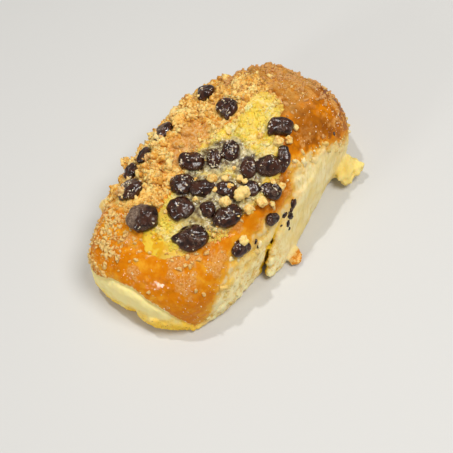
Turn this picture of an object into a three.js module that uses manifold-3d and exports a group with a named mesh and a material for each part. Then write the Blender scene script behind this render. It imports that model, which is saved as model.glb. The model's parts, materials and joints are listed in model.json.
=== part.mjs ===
// A cream-filled sweet roll: a soft pulled-apart roll with custard in a trough along its top, dark
// chocolate chips sunk in custard and crust, and a carpet of streusel crumbs along one shoulder.
// Millimetres, +Z up. The origin is the middle of the footprint: +X runs from the flat near end to the
// puffed far end, and -Y is the torn flank with its slit and flap.

import * as THREE from 'three';
import { mergeVertices } from 'three/addons/utils/BufferGeometryUtils.js';
import Module from 'manifold-3d';

const wasm = await Module();
wasm.setup();

// ---- driving dimensions -------------------------------------------------------------------------

// Outline of the roll at its widest level, anticlockwise from the far tip.
const ROLL_OUTLINE = [
  [70.3, 3], [66.5, 20], [48, 33.5], [22, 42.2], [-6, 44], [-31, 42.6], [-52, 36.5], [-66.4, 28],
  [-69.8, 10], [-67.8, -8], [-61.5, -23.5], [-49, -31], [-25, -33], [5, -34], [36, -32.5], [57, -29.5],
  [69, -16],
];
const ROLL_RISE = { near: 39.5, far: 50.5 }; // height of the crown at each end
const ROLL_WAIST = { near: 13, far: 18 }; // level of the widest outline at each end
const RISE_ENDS = { near: -60, far: 50 }; // where along X the two heights hold
const SHOULDER = { left: 2.8, right: 2.4 }; // fullness of the dome on each side, 2 is an ellipse
const FOOT_FULLNESS = 4;
const FOOT_UPRIGHT = { near: 1.8, far: 1.3 }; // 1 tucks the foot right under, 2 leaves it upright

const CUSTARD_CENTRE = [-5, -5];
const CUSTARD_OUTLINE = [
  [45, 8], [41, 12], [24, 10], [4, 15], [-14, 14], [-28, 12], [-41, 13], [-46, 5],
  [-42, -5], [-28, -14], [-8, -18.5], [12, -21], [23, -17], [29, -6], [42, -2],
]; // offsets from CUSTARD_CENTRE
const CUSTARD_DEPTH = 13;
const CUSTARD_CURDS = 0.5; // height of the lumps in its surface
const TROUGH_DIP = 2.2; // how far the custard's surface lies under the crown
const TROUGH_HEADROOM = 4; // what is cut away over the custard
const TOUCH_GAP = 0.3; // between pieces that lie against each other

// Chocolate chips: place of the middle on the roll, length, width, and turn of the length from +X.
const CHIP_THICKNESS = 0.62; // of the width
const CHIP_LIFT = 1.5; // of a chip's middle over the surface that it is pressed into
const CHIPS = [
  { x: -41.5, y: 11, long: 14, wide: 12, turn: -55 },
  { x: -33, y: 26, long: 12.5, wide: 11.5, turn: -52 },
  { x: -36.5, y: -12.5, long: 14, wide: 11.5, turn: -55 },
  { x: -28.5, y: 0, long: 12.5, wide: 10.5, turn: -52 },
  { x: -19.5, y: -19, long: 13, wide: 9.5, turn: -30 },
  { x: -19.5, y: 7, long: 11.5, wide: 10, turn: -40 },
  { x: -8, y: 10, long: 11.5, wide: 8.5, turn: -60 },
  { x: 22.5, y: 12.5, long: 11, wide: 9, turn: 69 },
  { x: 27, y: -14, long: 11, wide: 9.5, turn: -60 },
  { x: 10, y: -20, long: 12, wide: 9.5, turn: -48 },
  { x: 16, y: -23, long: 12, wide: 6.5, turn: 34 },
  { x: -1.5, y: 1.5, long: 9.5, wide: 7, turn: 34 },
  { x: 5.5, y: -2.5, long: 9.5, wide: 7.5, turn: 34 },
  { x: 4, y: -13, long: 9.5, wide: 7.5, turn: 34 },
  { x: 2, y: -26, long: 9.5, wide: 7.5, turn: -68 },
  { x: -15.5, y: -2.5, long: 11, wide: 8, turn: -55 },
  { x: -10.5, y: -11.5, long: 9.5, wide: 7.5, turn: -60 },
  { x: -22.5, y: -10.5, long: 7.5, wide: 7, turn: 0 },
  { x: -3.5, y: -19.5, long: 8, wide: 7, turn: -40 },
  { x: -25.5, y: -29, long: 9.5, wide: 7.5, turn: -40 },
  { x: -6, y: -31.5, long: 7.5, wide: 6, turn: -40 },
  { x: -1, y: 33, long: 11, wide: 8.5, turn: 5 },
  { x: -15.5, y: 32, long: 8.5, wide: 7, turn: 20 },
  { x: -24.5, y: 34, long: 8.5, wide: 7.5, turn: 30 },
  { x: 25.5, y: 28.5, long: 9.5, wide: 8, turn: 20 },
];

// The largest crumb lumps, lying loose on custard and chips.
const CRUMBS = [
  { x: -8.5, y: -18.5, across: 8.4, lift: 3.6 },
  { x: -10, y: -4, across: 5.8, lift: 3.2 },
  { x: -16, y: -14.5, across: 6.6, lift: 3.4 },
  { x: -12, y: -24, across: 5.2, lift: 2.6 },
  { x: -5.5, y: -26, across: 6, lift: 2.8 },
  { x: -22.5, y: -28, across: 5.4, lift: 3.4 },
  { x: 6.5, y: -27.5, across: 5.2, lift: 2.4 },
  { x: 21, y: -17.5, across: 6, lift: 2.2 },
];

// Streusel carpet: a band of clumps along the +Y shoulder, thinning out over the far dome.
const STREUSEL = { count: 56, smallest: 3.6, largest: 7, x: [-42, 62], y: [8, 43], seed: 11 };
const DOME_STREUSEL = { count: 14, smallest: 3, largest: 4.6, x: [34, 66], y: [-24, 22], seed: 5 };
const CLUMP_FLATNESS = 0.8;
const CLUMP_LIFT = 0.16; // of a clump's middle over the crust, as a share of its width
const CLUMP_SPACING = 0.46; // of two clumps' widths together

// The flap: a sheet of crumb peeled off the torn flank. Its free edge is a bent line from foot to head.
const SLIT_FOOT = [-18.5, 0]; // X and Z of the free edge's ends
const SLIT_HEAD = [10, 29];
const SLIT_BEND = 2.6; // how sharply the edge turns towards the root near its head
const FLAP = {
  footReach: 48, // from free edge to root, at its foot
  headReach: 30,
  footStand: 5.5, // of the free edge off the flank, at its foot
  headStand: 2,
  edge: 4.2, // thickness at the free edge
  root: 8,
  rag: 1.4, // of the free edge
  hollow: 1.2, // how far the flank behind it was pulled in
};
const TORN_CRAGS = 0.6; // height of the ridges where crumb tore, on both flanks
const CRUST_SWELL = 0.7; // height of the crust's soft unevenness

// The pale foot of the near end: two lobes under the crust's lip, with a notch between them.
const FOOT_LIP = 11; // level of the crust's lower edge
const FOOT_LOBES = [
  { y: 15, reach: 15, stand: 0.8 },
  { y: -11, reach: 10, stand: 2.2 },
];

const COLOURS = {
  dough: { color: 0xd08a2c, roughness: 0.5, metalness: 0 },
  custard: { color: 0xe4cf62, roughness: 0.45, metalness: 0 },
  chip: { color: 0x2c1a13, roughness: 0.4, metalness: 0 },
  crumb: { color: 0xe2b765, roughness: 0.85, metalness: 0 },
};

// ---- helpers ------------------------------------------------------------------------------------

function mix(a, b, t) {
  return a + (b - a) * t;
}

function smooth(a, b, x) {
  const t = Math.min(Math.max((x - a) / (b - a), 0), 1);
  return t * t * (3 - 2 * t);
}

function randomFrom(seed) {
  let state = seed;
  return () => {
    state = (Math.imul(state, 1664525) + 1013904223) >>> 0;
    return state / 4294967296;
  };
}

// Radius of a closed outline at an angle, as a smooth curve through the outline's points.
function outlineRadius(points) {
  const polar = points.map(([x, y]) => [Math.atan2(y, x), Math.hypot(x, y)]);
  polar.sort((a, b) => a[0] - b[0]);
  const count = polar.length;
  const knot = (i) => {
    const lap = Math.floor(i / count);
    const [angle, radius] = polar[i - lap * count];
    return [angle + lap * 2 * Math.PI, radius];
  };
  return (angle) => {
    let i = -1;
    while (knot(i + 1)[0] <= angle) {
      i += 1;
    }
    const [before, from, to, after] = [knot(i - 1), knot(i), knot(i + 1), knot(i + 2)];
    const span = to[0] - from[0];
    const t = (angle - from[0]) / span;
    const leave = ((to[1] - before[1]) / (to[0] - before[0])) * span;
    const arrive = ((after[1] - from[1]) / (after[0] - from[0])) * span;
    const t2 = t * t;
    const t3 = t2 * t;
    return (2 * t3 - 3 * t2 + 1) * from[1] + (t3 - 2 * t2 + t) * leave
      + (3 * t2 - 2 * t3) * to[1] + (t3 - t2) * arrive;
  };
}

function asSolid(geometry) {
  const bare = geometry.clone();
  bare.deleteAttribute('normal');
  bare.deleteAttribute('uv');
  const merged = mergeVertices(bare, 1e-4);
  return new wasm.Manifold(new wasm.Mesh({
    numProp: 3,
    vertProperties: new Float32Array(merged.attributes.position.array),
    triVerts: new Uint32Array(merged.index.array),
  }));
}

// Scraps that a cut leaves loose are dropped: a piece stays one body.
function largestBody(solid) {
  return solid.decompose().reduce((best, body) => (body.volume() > best.volume() ? body : best));
}

function asGeometry(solid) {
  const mesh = solid.getMesh();
  const geometry = new THREE.BufferGeometry();
  geometry.setAttribute('position', new THREE.BufferAttribute(mesh.vertProperties, 3));
  geometry.setIndex(new THREE.BufferAttribute(mesh.triVerts, 1));
  geometry.computeVertexNormals();
  return geometry;
}

// A ball with its poles on Z whose points are moved by a function of latitude (0 to PI) and azimuth.
function shapedBall(around, upright, place) {
  const ball = new THREE.SphereGeometry(1, around, upright);
  ball.rotateX(Math.PI / 2);
  const points = ball.attributes.position;
  for (let i = 0; i < points.count; i += 1) {
    const polar = Math.acos(Math.min(Math.max(points.getZ(i), -1), 1));
    const azimuth = Math.atan2(points.getY(i), points.getX(i));
    points.setXYZ(i, ...place(polar, azimuth));
  }
  return ball;
}

// ---- form of the roll ---------------------------------------------------------------------------

const rollRadius = outlineRadius(ROLL_OUTLINE);
const custardRadius = outlineRadius(CUSTARD_OUTLINE);

function alongRoll(ends, x) {
  return mix(ends.near, ends.far, smooth(RISE_ENDS.near, RISE_ENDS.far, x));
}

function shoulder(azimuth) {
  return mix(SHOULDER.left, SHOULDER.right, smooth(0.3, -0.3, Math.sin(azimuth)));
}

// 0 in the middle of the custard, 1 on its outline.
function custardReach(x, y) {
  const dx = x - CUSTARD_CENTRE[0];
  const dy = y - CUSTARD_CENTRE[1];
  return Math.hypot(dx, dy) / custardRadius(Math.atan2(dy, dx));
}

function troughDip(x, y) {
  return TROUGH_DIP * (1 - smooth(0.6, 1.12, custardReach(x, y)));
}

function crustSwell(x, y) {
  return CRUST_SWELL * (Math.sin(x * 0.17 + y * 0.11) + Math.sin(y * 0.23 - x * 0.07 + 1.7));
}

// Level of the roll's upper surface over a point of its plan.
function topLevel(x, y) {
  const azimuth = Math.atan2(y, x);
  const reach = Math.min(Math.hypot(x, y) / rollRadius(azimuth), 1);
  const fullness = shoulder(azimuth);
  const dome = (1 - reach ** fullness) ** (1 / fullness);
  const waist = alongRoll(ROLL_WAIST, x);
  return waist + (alongRoll(ROLL_RISE, x) - waist) * dome - (troughDip(x, y) - crustSwell(x, y)) * dome;
}

function uprightFoot(azimuth) {
  return mix(FOOT_UPRIGHT.near, FOOT_UPRIGHT.far, smooth(0.2, 0.9, Math.cos(azimuth)));
}

// Y of the smooth -Y flank over a point of its length, at a level.
function flankY(x, z) {
  const halfWidth = 33;
  const azimuth = Math.atan2(-halfWidth, x);
  const waist = alongRoll(ROLL_WAIST, x);
  const crown = alongRoll(ROLL_RISE, x);
  const above = z > waist;
  const power = above ? SHOULDER.right : FOOT_FULLNESS;
  const share = above ? (z - waist) / (crown - waist) : (1 - z / waist) / uprightFoot(azimuth);
  return rollRadius(azimuth) * Math.sin(azimuth) * (1 - share ** power) ** (1 / power);
}

// X of the flap's free edge at a level.
function slitX(z) {
  const rise = Math.min(z / SLIT_HEAD[1], 1);
  return mix(SLIT_FOOT[0], SLIT_HEAD[0], rise ** SLIT_BEND);
}

// How far the near end's foot stands out under the crust's lip.
function footPush(y, z) {
  const lobes = FOOT_LOBES.reduce((sum, lobe) => {
    const across = Math.min(Math.abs(y - lobe.y) / lobe.reach, 1);
    return sum + lobe.stand * (1 - across * across);
  }, 0);
  return lobes * (1 - smooth(FOOT_LIP - 3, FOOT_LIP + 1, z));
}

// How far the flank is pulled in behind the flap.
function flapHollow(x, z) {
  const past = x - slitX(z);
  const behind = smooth(-4, 4, past) * (1 - smooth(10, 24, past));
  return FLAP.hollow * behind * (1 - smooth(20, SLIT_HEAD[1], z));
}

// Ridges of the crumb where neighbouring rolls tore away, -1.5 to 1.5.
function crags(x, z) {
  const ridges = Math.sin(x * 0.52 + z * 0.35) * Math.sin(z * 0.5 - x * 0.16);
  return ridges + 0.5 * Math.sin(x * 0.9 - z * 0.7);
}

// 1 on the torn part of a flank, 0 where crust covers it.
function tornShare(x, z) {
  return smooth(-58, -46, x) * (1 - smooth(50, 62, x)) * (1 - smooth(22, 32, z));
}

function rollPoint(polar, azimuth) {
  const level = Math.PI / 2;
  const upperShare = 0.74; // of the ball's latitudes, for the part above the waist
  const footShare = 0.92; // of the latitudes, down to where the foot meets the ground
  const footEnd = THREE.MathUtils.degToRad(109);
  const flankCrowding = 0.75; // brings the meridians closer together along the flanks
  const share = polar / Math.PI;
  let bend = mix(0, level, share / upperShare);
  if (share > footShare) {
    bend = mix(footEnd, Math.PI, (share - footShare) / (1 - footShare));
  } else if (share > upperShare) {
    bend = mix(level, footEnd, (share - upperShare) / (footShare - upperShare));
  }
  const around = Math.atan2(flankCrowding * Math.sin(azimuth), Math.cos(azimuth));
  const radius = rollRadius(around);
  const above = bend <= level;
  const power = 2 / (above ? shoulder(around) : FOOT_FULLNESS);
  const out = Math.abs(Math.sin(bend)) ** power;
  const up = Math.abs(Math.cos(bend)) ** power;
  let x = radius * Math.cos(around) * out;
  let y = radius * Math.sin(around) * out;
  const waist = alongRoll(ROLL_WAIST, x);
  const z = above ? topLevel(x, y) : Math.max(waist - waist * uprightFoot(around) * up, 0);
  const flank = smooth(0.55, 0.95, out) * smooth(0.25, 0.7, Math.abs(Math.sin(around)));
  const push = TORN_CRAGS * crags(x, z) - (y < 0 ? flapHollow(x, z) : 0);
  y += Math.sign(y) * flank * tornShare(x, z) * push;
  x -= smooth(0.5, 0.9, out) * smooth(0.8, 0.93, -Math.cos(around)) * footPush(y, z);
  return [x, y, z];
}

function rollBody() {
  return asSolid(shapedBall(57, 27, rollPoint));
}

// ---- custard ------------------------------------------------------------------------------------

// The custard fills the trough, with its thin edge lying level on the crust. With a gap and headroom
// it is the cutter that hollows the trough: wider, deeper and open above, flared past the edge.
function custardBody(gap, headroom) {
  const flare = 0.45 * headroom;
  const crown = 0.8; // of the surface over its own edge
  const edge = 0.8; // of the outline, inside which the surface has risen
  return asSolid(shapedBall(28, 10, (polar, azimuth) => {
    const above = polar <= Math.PI / 2;
    const out = Math.sin(polar) ** (above ? 1 : 0.8);
    const radius = (custardRadius(azimuth) + gap + (above ? flare : 0)) * out;
    const x = CUSTARD_CENTRE[0] + radius * Math.cos(azimuth);
    const y = CUSTARD_CENTRE[1] + radius * Math.sin(azimuth);
    const surface = topLevel(x, y);
    if (above) {
      const curds = CUSTARD_CURDS * Math.sin(x * 0.8 + y * 0.5) * Math.sin(y * 0.9 - x * 0.3);
      return [x, y, surface + headroom + (crown + curds) * smooth(1, edge, out)];
    }
    return [x, y, surface - gap - CUSTARD_DEPTH * Math.abs(Math.cos(polar)) ** 0.8];
  }));
}

// ---- toppings -----------------------------------------------------------------------------------

function surfaceTurn(x, y) {
  const step = 2;
  const slopeX = (topLevel(x + step, y) - topLevel(x - step, y)) / (2 * step);
  const slopeY = (topLevel(x, y + step) - topLevel(x, y - step)) / (2 * step);
  const normal = new THREE.Vector3(-slopeX, -slopeY, 1).normalize();
  return new THREE.Quaternion().setFromUnitVectors(new THREE.Vector3(0, 0, 1), normal);
}

// Puts a shape made about its own middle on the roll's surface, upright to it.
function settle(geometry, x, y, lift) {
  const place = new THREE.Vector3(0, 0, lift).applyQuaternion(surfaceTurn(x, y));
  geometry.applyQuaternion(surfaceTurn(x, y));
  geometry.translate(x + place.x, y + place.y, topLevel(x, y) + place.z);
  return geometry;
}

// A chip is a thick drop pressed flat: a domed upper side over a flatter lower one.
function chipBody(chip, gap) {
  const half = [chip.long / 2 + gap, chip.wide / 2 + gap, (chip.wide * CHIP_THICKNESS) / 2 + gap];
  const shape = shapedBall(9, 6, (polar, azimuth) => {
    const out = Math.sin(polar) ** 0.85;
    const up = Math.cos(polar);
    return [half[0] * out * Math.cos(azimuth), half[1] * out * Math.sin(azimuth), half[2] * up];
  });
  shape.rotateZ(THREE.MathUtils.degToRad(chip.turn));
  return asSolid(settle(shape, chip.x, chip.y, CHIP_LIFT));
}

// An uneven lump with corners pushed in and out.
function lump(across, detail, random) {
  const shape = mergeVertices(bareIcosahedron(across / 2, detail));
  const points = shape.attributes.position;
  for (let i = 0; i < points.count; i += 1) {
    const swell = mix(0.78, 1.18, random());
    const [x, y, z] = [points.getX(i) * swell, points.getY(i) * swell, points.getZ(i) * swell];
    points.setXYZ(i, x, y, z * CLUMP_FLATNESS);
  }
  shape.rotateZ(random() * Math.PI);
  return shape;
}

function bareIcosahedron(radius, detail) {
  const shape = new THREE.IcosahedronGeometry(radius, detail);
  shape.deleteAttribute('normal');
  shape.deleteAttribute('uv');
  return shape;
}

// Places for a band's clumps, clear of custard, chips and the roll's edge.
function scatterPlaces(band) {
  const random = randomFrom(band.seed);
  const places = [];
  for (let tries = 0; places.length < band.count && tries < 40 * band.count; tries += 1) {
    const x = mix(...band.x, random());
    const y = mix(...band.y, random());
    const across = mix(band.smallest, band.largest, random() ** 2);
    const onRoll = Math.hypot(x, y) < 0.985 * rollRadius(Math.atan2(y, x));
    const offCustard = custardReach(x, y) > 1.08 + across / 60;
    const apart = (other, span) => Math.hypot(other.x - x, other.y - y) > span;
    const offChips = CHIPS.every((chip) => apart(chip, (chip.long + across) / 2 + TOUCH_GAP));
    const spaced = places.every((place) => apart(place, CLUMP_SPACING * (place.across + across)));
    if (onRoll && offCustard && offChips && spaced) {
      places.push({ x, y, across });
    }
  }
  return places;
}

function streuselBodies(band) {
  const random = randomFrom(band.seed + 100);
  return scatterPlaces(band).map(({ x, y, across }) => {
    return asSolid(settle(lump(across, 0, random), x, y, across * CLUMP_LIFT));
  });
}

// ---- torn scraps --------------------------------------------------------------------------------

function ellipsoidBody(centre, half, turn, seed) {
  const random = randomFrom(seed);
  const shape = lump(2, 1, random);
  shape.scale(...half);
  shape.rotateZ(THREE.MathUtils.degToRad(turn));
  shape.translate(...centre);
  return asSolid(shape);
}

// Shreds of crumb and crust left hanging where neighbouring rolls were pulled away.
function scrapBodies() {
  return [
    ellipsoidBody([49, -33.5, 6], [7, 5, 4], 10, 3), // ragged shred low on the far flank
    ellipsoidBody([52.5, -37.5, 6.5], [4, 3.6, 2.4], -50, 7),
    ellipsoidBody([44.5, -37, 4.5], [3.5, 3, 2.2], 30, 8),
    ellipsoidBody([-3, -39.5, 2.4], [4, 5.5, 1.5], -30, 4), // flake of crust under the flap
    ellipsoidBody([-39, 40, 22], [5, 3.6, 4], -10, 5), // shreds on the hidden flank
    ellipsoidBody([13, 38, 36], [5, 4.2, 4.4], 5, 6),
  ];
}

// The flap runs from its free edge, which stands off the flank, to a root sunk in the flank.
function flapBody() {
  const sheet = new THREE.BoxGeometry(1, 1, 1, 9, 1, 7);
  const points = sheet.attributes.position;
  const rootSink = 2;
  for (let i = 0; i < points.count; i += 1) {
    const along = points.getX(i) + 0.5;
    const inward = points.getY(i) + 0.5;
    const rise = points.getZ(i) + 0.5;
    const z = rise * SLIT_HEAD[1];
    const rag = FLAP.rag * Math.sin(z * 1.1) * (1 - along);
    const x = slitX(z) + rag + along * mix(FLAP.footReach, FLAP.headReach, rise);
    const stand = mix(FLAP.footStand, FLAP.headStand, rise) * (1 - smooth(0.2, 1, along));
    const sink = rootSink * smooth(0.75, 1, along);
    const outer = flankY(x, z) - stand + sink - 0.6 * TORN_CRAGS * crags(x, z) * (1 - along);
    points.setXYZ(i, x, outer + inward * mix(FLAP.edge, FLAP.root, along), z);
  }
  return asSolid(sheet);
}

// ---- assembly -----------------------------------------------------------------------------------

const group = new THREE.Group();

function addPiece(name, body, look) {
  const mesh = new THREE.Mesh(asGeometry(body), new THREE.MeshStandardMaterial(look));
  mesh.name = name;
  group.add(mesh);
}

// Chips first: each is cut back where an earlier one lies on it, and everything else makes room.
let taken = null;

function clearOfTaken(body) {
  return taken ? largestBody(body.subtract(taken)) : body;
}

function take(body) {
  taken = taken ? taken.add(body) : body;
}

CHIPS.forEach((chip, i) => {
  addPiece(`chip_${String(i + 1).padStart(2, '0')}`, clearOfTaken(chipBody(chip, 0)), COLOURS.chip);
  take(chipBody(chip, TOUCH_GAP));
});

CRUMBS.forEach((crumb, i) => {
  const make = (gap) => {
    const shape = lump(crumb.across + 2 * gap, 1, randomFrom(31 + i));
    return asSolid(settle(shape, crumb.x, crumb.y, crumb.lift));
  };
  addPiece(`crumb_${i + 1}`, clearOfTaken(make(0)), COLOURS.crumb);
  take(make(TOUCH_GAP));
});

addPiece('custard', clearOfTaken(custardBody(0, 0)), COLOURS.custard);

let dough = rollBody();
for (const scrap of scrapBodies()) {
  dough = dough.add(scrap);
}
dough = dough.add(flapBody());
for (const clump of [...streuselBodies(STREUSEL), ...streuselBodies(DOME_STREUSEL)]) {
  dough = dough.add(clump);
}
dough = dough.subtract(custardBody(TOUCH_GAP, TROUGH_HEADROOM));
addPiece('dough', clearOfTaken(dough), COLOURS.dough);

export default group;
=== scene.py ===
import json
import math

import bmesh
import bpy
import numpy as np
from mathutils import Matrix, Vector, noise

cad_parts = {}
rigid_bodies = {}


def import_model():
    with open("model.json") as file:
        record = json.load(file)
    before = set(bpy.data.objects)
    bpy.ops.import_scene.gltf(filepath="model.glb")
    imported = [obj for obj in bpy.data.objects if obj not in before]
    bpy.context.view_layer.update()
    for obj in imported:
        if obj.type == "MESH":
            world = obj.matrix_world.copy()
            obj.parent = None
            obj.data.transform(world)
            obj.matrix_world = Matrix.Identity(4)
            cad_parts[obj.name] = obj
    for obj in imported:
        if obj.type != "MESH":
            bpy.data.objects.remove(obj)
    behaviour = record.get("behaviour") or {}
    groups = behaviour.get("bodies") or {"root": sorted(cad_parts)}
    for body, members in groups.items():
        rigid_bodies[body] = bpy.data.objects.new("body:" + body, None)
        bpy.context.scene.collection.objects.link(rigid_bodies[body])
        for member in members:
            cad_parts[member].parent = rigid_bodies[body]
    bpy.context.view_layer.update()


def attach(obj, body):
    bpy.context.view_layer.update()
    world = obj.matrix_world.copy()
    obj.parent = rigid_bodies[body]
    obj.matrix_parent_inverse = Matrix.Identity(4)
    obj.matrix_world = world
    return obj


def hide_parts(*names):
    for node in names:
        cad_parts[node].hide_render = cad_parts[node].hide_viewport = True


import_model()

# ---- Camera, floor and light ---------------------------------------------------------------------
# The roll lies on a plain pale floor. The camera looks steeply down on its flat near end, and broad
# soft light comes from above and the right, with a smaller lamp for the gloss on crust and chocolate.

MM = 0.001
CAMERA_TARGET = Vector((-7.9, -3.4, 0)) * MM
CAMERA_HEADING = 49.0  # degrees from +X towards +Y
CAMERA_ELEVATION = 57.6
CAMERA_ROLL = -12.58
CAMERA_DISTANCE = 430 * MM
CAMERA_LENS = 70.4  # for a 36 mm sensor
FLOOR_SIZE = 3.0
FLOOR_DROP = 0.1 * MM
FLOOR_COLOUR = "#d1d0cd"
SKY_STRENGTH = 0.33
LAMPS = [
    ("broad lamp", (0.16, -0.36, 0.80), 0.4, 4.9, (1.0, 0.985, 0.96)),
    ("side lamp", (-0.60, 0.10, 0.28), 0.12, 0.8, (1.0, 0.99, 0.97)),
    ("gloss lamp", (0.05, 0.25, 0.80), 0.04, 1.9, (1.0, 1.0, 1.0)),
]  # place and width in metres, watts, colour


def paint(code):
    """Linear colour of a #rrggbb code."""
    parts = [int(code[i:i + 2], 16) / 255 for i in (1, 3, 5)]
    return [c / 12.92 if c <= 0.04045 else ((c + 0.055) / 1.055) ** 2.4 for c in parts] + [1.0]


def set_inputs(node, **values):
    """Sets a node's sockets by name, with underscores for blanks."""
    for name, value in values.items():
        node.inputs[name.replace("_", " ")].default_value = value
    return node


def new_material(name, **shader_values):
    """A material with one Principled shader, and that shader."""
    material = bpy.data.materials.new(name)
    material.use_nodes = True
    shader = material.node_tree.nodes["Principled BSDF"]
    return material, set_inputs(shader, **shader_values)


def aim(thing, place, target, roll=0.0):
    """Stands a camera or lamp at a place and points it at a target."""
    turn = (target - place).to_track_quat("-Z", "Y").to_matrix()
    turn = turn @ Matrix.Rotation(math.radians(roll), 3, "Z")
    thing.matrix_world = Matrix.Translation(place) @ turn.to_4x4()


def add_lamp(name, place, size, watts, colour):
    """A round soft lamp that points at the roll."""
    lamp = bpy.data.lights.new(name, "AREA")
    lamp.shape = "DISK"
    lamp.size = size
    lamp.energy = watts
    lamp.color = colour
    thing = bpy.data.objects.new(name, lamp)
    bpy.context.scene.collection.objects.link(thing)
    aim(thing, Vector(place), Vector((0, 0, 0)))


heading = math.radians(CAMERA_HEADING)
elevation = math.radians(CAMERA_ELEVATION)
backward = Vector((
    -math.cos(heading) * math.cos(elevation),
    -math.sin(heading) * math.cos(elevation),
    math.sin(elevation),
))
camera_data = bpy.data.cameras.new("camera")
camera_data.lens = CAMERA_LENS
camera_data.sensor_width = 36
camera_data.clip_start = 0.01
camera = bpy.data.objects.new("camera", camera_data)
bpy.context.scene.collection.objects.link(camera)
aim(camera, CAMERA_TARGET + backward * CAMERA_DISTANCE, CAMERA_TARGET, CAMERA_ROLL)
bpy.context.scene.camera = camera
bpy.context.scene.view_settings.view_transform = "Standard"

world = bpy.data.worlds.new("studio")
world.use_nodes = True
set_inputs(world.node_tree.nodes["Background"], Color=(1.0, 0.99, 0.97, 1.0), Strength=SKY_STRENGTH)
bpy.context.scene.world = world
for lamp_values in LAMPS:
    add_lamp(*lamp_values)

floor_mesh = bpy.data.meshes.new("floor")
floor_corners = [(-1, -1), (1, -1), (1, 1), (-1, 1)]
floor_mesh.from_pydata(
    [(x * FLOOR_SIZE / 2, y * FLOOR_SIZE / 2, -FLOOR_DROP) for x, y in floor_corners], [], [(0, 1, 2, 3)])
floor = bpy.data.objects.new("floor", floor_mesh)
bpy.context.scene.collection.objects.link(floor)
floor_material, _ = new_material("pale floor", Base_Color=paint(FLOOR_COLOUR), Roughness=0.55)
floor_mesh.materials.append(floor_material)

# ---- The dough -----------------------------------------------------------------------------------
# A long soft yeast roll that baked against its neighbours: crust and torn crumb are one skin, with the
# streusel clumps, the peeled flap and the torn shreds grown onto it. It is fused from closed shapes,
# then given its crags, flakes, lip and crumb by moving its points.

# Form of the baked roll, in millimetres. The toppings lie on this form too.

ROLL_OUTLINE = [
    (70.3, 3), (66.5, 20), (48, 33.5), (22, 42.2), (-6, 44), (-31, 42.6), (-52, 36.5), (-66.4, 28),
    (-69.8, 10), (-67.8, -8), (-61.5, -23.5), (-49, -31), (-25, -33), (5, -34), (36, -32.5), (57, -29.5),
    (69, -16),
]
ROLL_RISE = (39.5, 50.5)  # height of the crown at the near and the far end
ROLL_WAIST = (13, 18)  # level of the widest outline at each end
RISE_ENDS = (-60, 50)  # where along X the two heights hold
SHOULDER = (2.8, 2.4)  # fullness of the dome on the left and right side
FOOT_FULLNESS = 4  # of the part under the widest outline
FOOT_UPRIGHT = (1.8, 1.3)  # 1 tucks the foot right under, 2 leaves it upright
CUSTARD_CENTRE = (-5, -5)
CUSTARD_OUTLINE = [
    (45, 8), (41, 12), (24, 10), (4, 15), (-14, 14), (-28, 12), (-41, 13), (-46, 5),
    (-42, -5), (-28, -14), (-8, -18.5), (12, -21), (23, -17), (29, -6), (42, -2),
]  # offsets from the custard's centre
CUSTARD_DEPTH = 13
TROUGH_DIP = 2.2  # how far the crust sinks towards the custard
TOUCH_GAP = 0.3  # between pieces that touch
CRUST_SWELL = 0.7  # height of the crust's broad swells
TORN_CRAGS = 0.25  # height of the torn flanks' ridges
FOOT_LIP = 11  # level up to which the near end's foot stands out
FOOT_LOBES = [(15, 15, 0.8), (-11, 10, 2.2)]  # Y of the middle, half width, and how far it stands out
SLIT_FOOT = (-18.5, 0)  # X and Z of the ends of the flap's free edge
SLIT_HEAD = (10, 29)
SLIT_BEND = 2.6  # 1 leaves the free edge straight
FLAP_REACH = (48, 30)  # from free edge to root, at its foot and its head
FLAP_STAND = (5.5, 0.8)  # of the free edge off the flank
FLAP_THICKNESS = (2.6, 8)  # at the free edge and the root
FLAP_RAG = 0.6  # of its free edge, in and out
FLAP_HOLLOW = 2.4  # of the flank behind it


def mix(a, b, t):
    return a + (b - a) * t


def smooth(a, b, x):
    t = np.clip((x - a) / (b - a), 0, 1)
    return t * t * (3 - 2 * t)


def outline_radius(points):
    """Radius of a closed outline at an angle, as a smooth curve through its points."""
    points = np.array(points, float)
    angles = np.arctan2(points[:, 1], points[:, 0])
    order = np.argsort(angles)
    lap = 2 * math.pi
    angles = np.concatenate([angles[order][-2:] - lap, angles[order], angles[order][:3] + lap])
    radii = np.hypot(points[:, 0], points[:, 1])[order]
    radii = np.concatenate([radii[-2:], radii, radii[:3]])
    slopes = np.gradient(radii)
    slopes[1:-1] = (radii[2:] - radii[:-2]) / (angles[2:] - angles[:-2])

    def radius(angle):
        i = np.searchsorted(angles, angle, side="right") - 1
        span = angles[i + 1] - angles[i]
        t = (angle - angles[i]) / span
        return ((2 * t**3 - 3 * t**2 + 1) * radii[i] + (t**3 - 2 * t**2 + t) * slopes[i] * span
                + (3 * t**2 - 2 * t**3) * radii[i + 1] + (t**3 - t**2) * slopes[i + 1] * span)

    return radius


roll_radius = outline_radius(ROLL_OUTLINE)
custard_radius = outline_radius(CUSTARD_OUTLINE)


def along_roll(ends, x):
    return mix(ends[0], ends[1], smooth(*RISE_ENDS, x))


def shoulder(azimuth):
    return mix(SHOULDER[0], SHOULDER[1], smooth(0.3, -0.3, np.sin(azimuth)))


def custard_reach(x, y):
    """0 in the middle of the custard, 1 on its outline."""
    dx = x - CUSTARD_CENTRE[0]
    dy = y - CUSTARD_CENTRE[1]
    return np.hypot(dx, dy) / custard_radius(np.arctan2(dy, dx))


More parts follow.
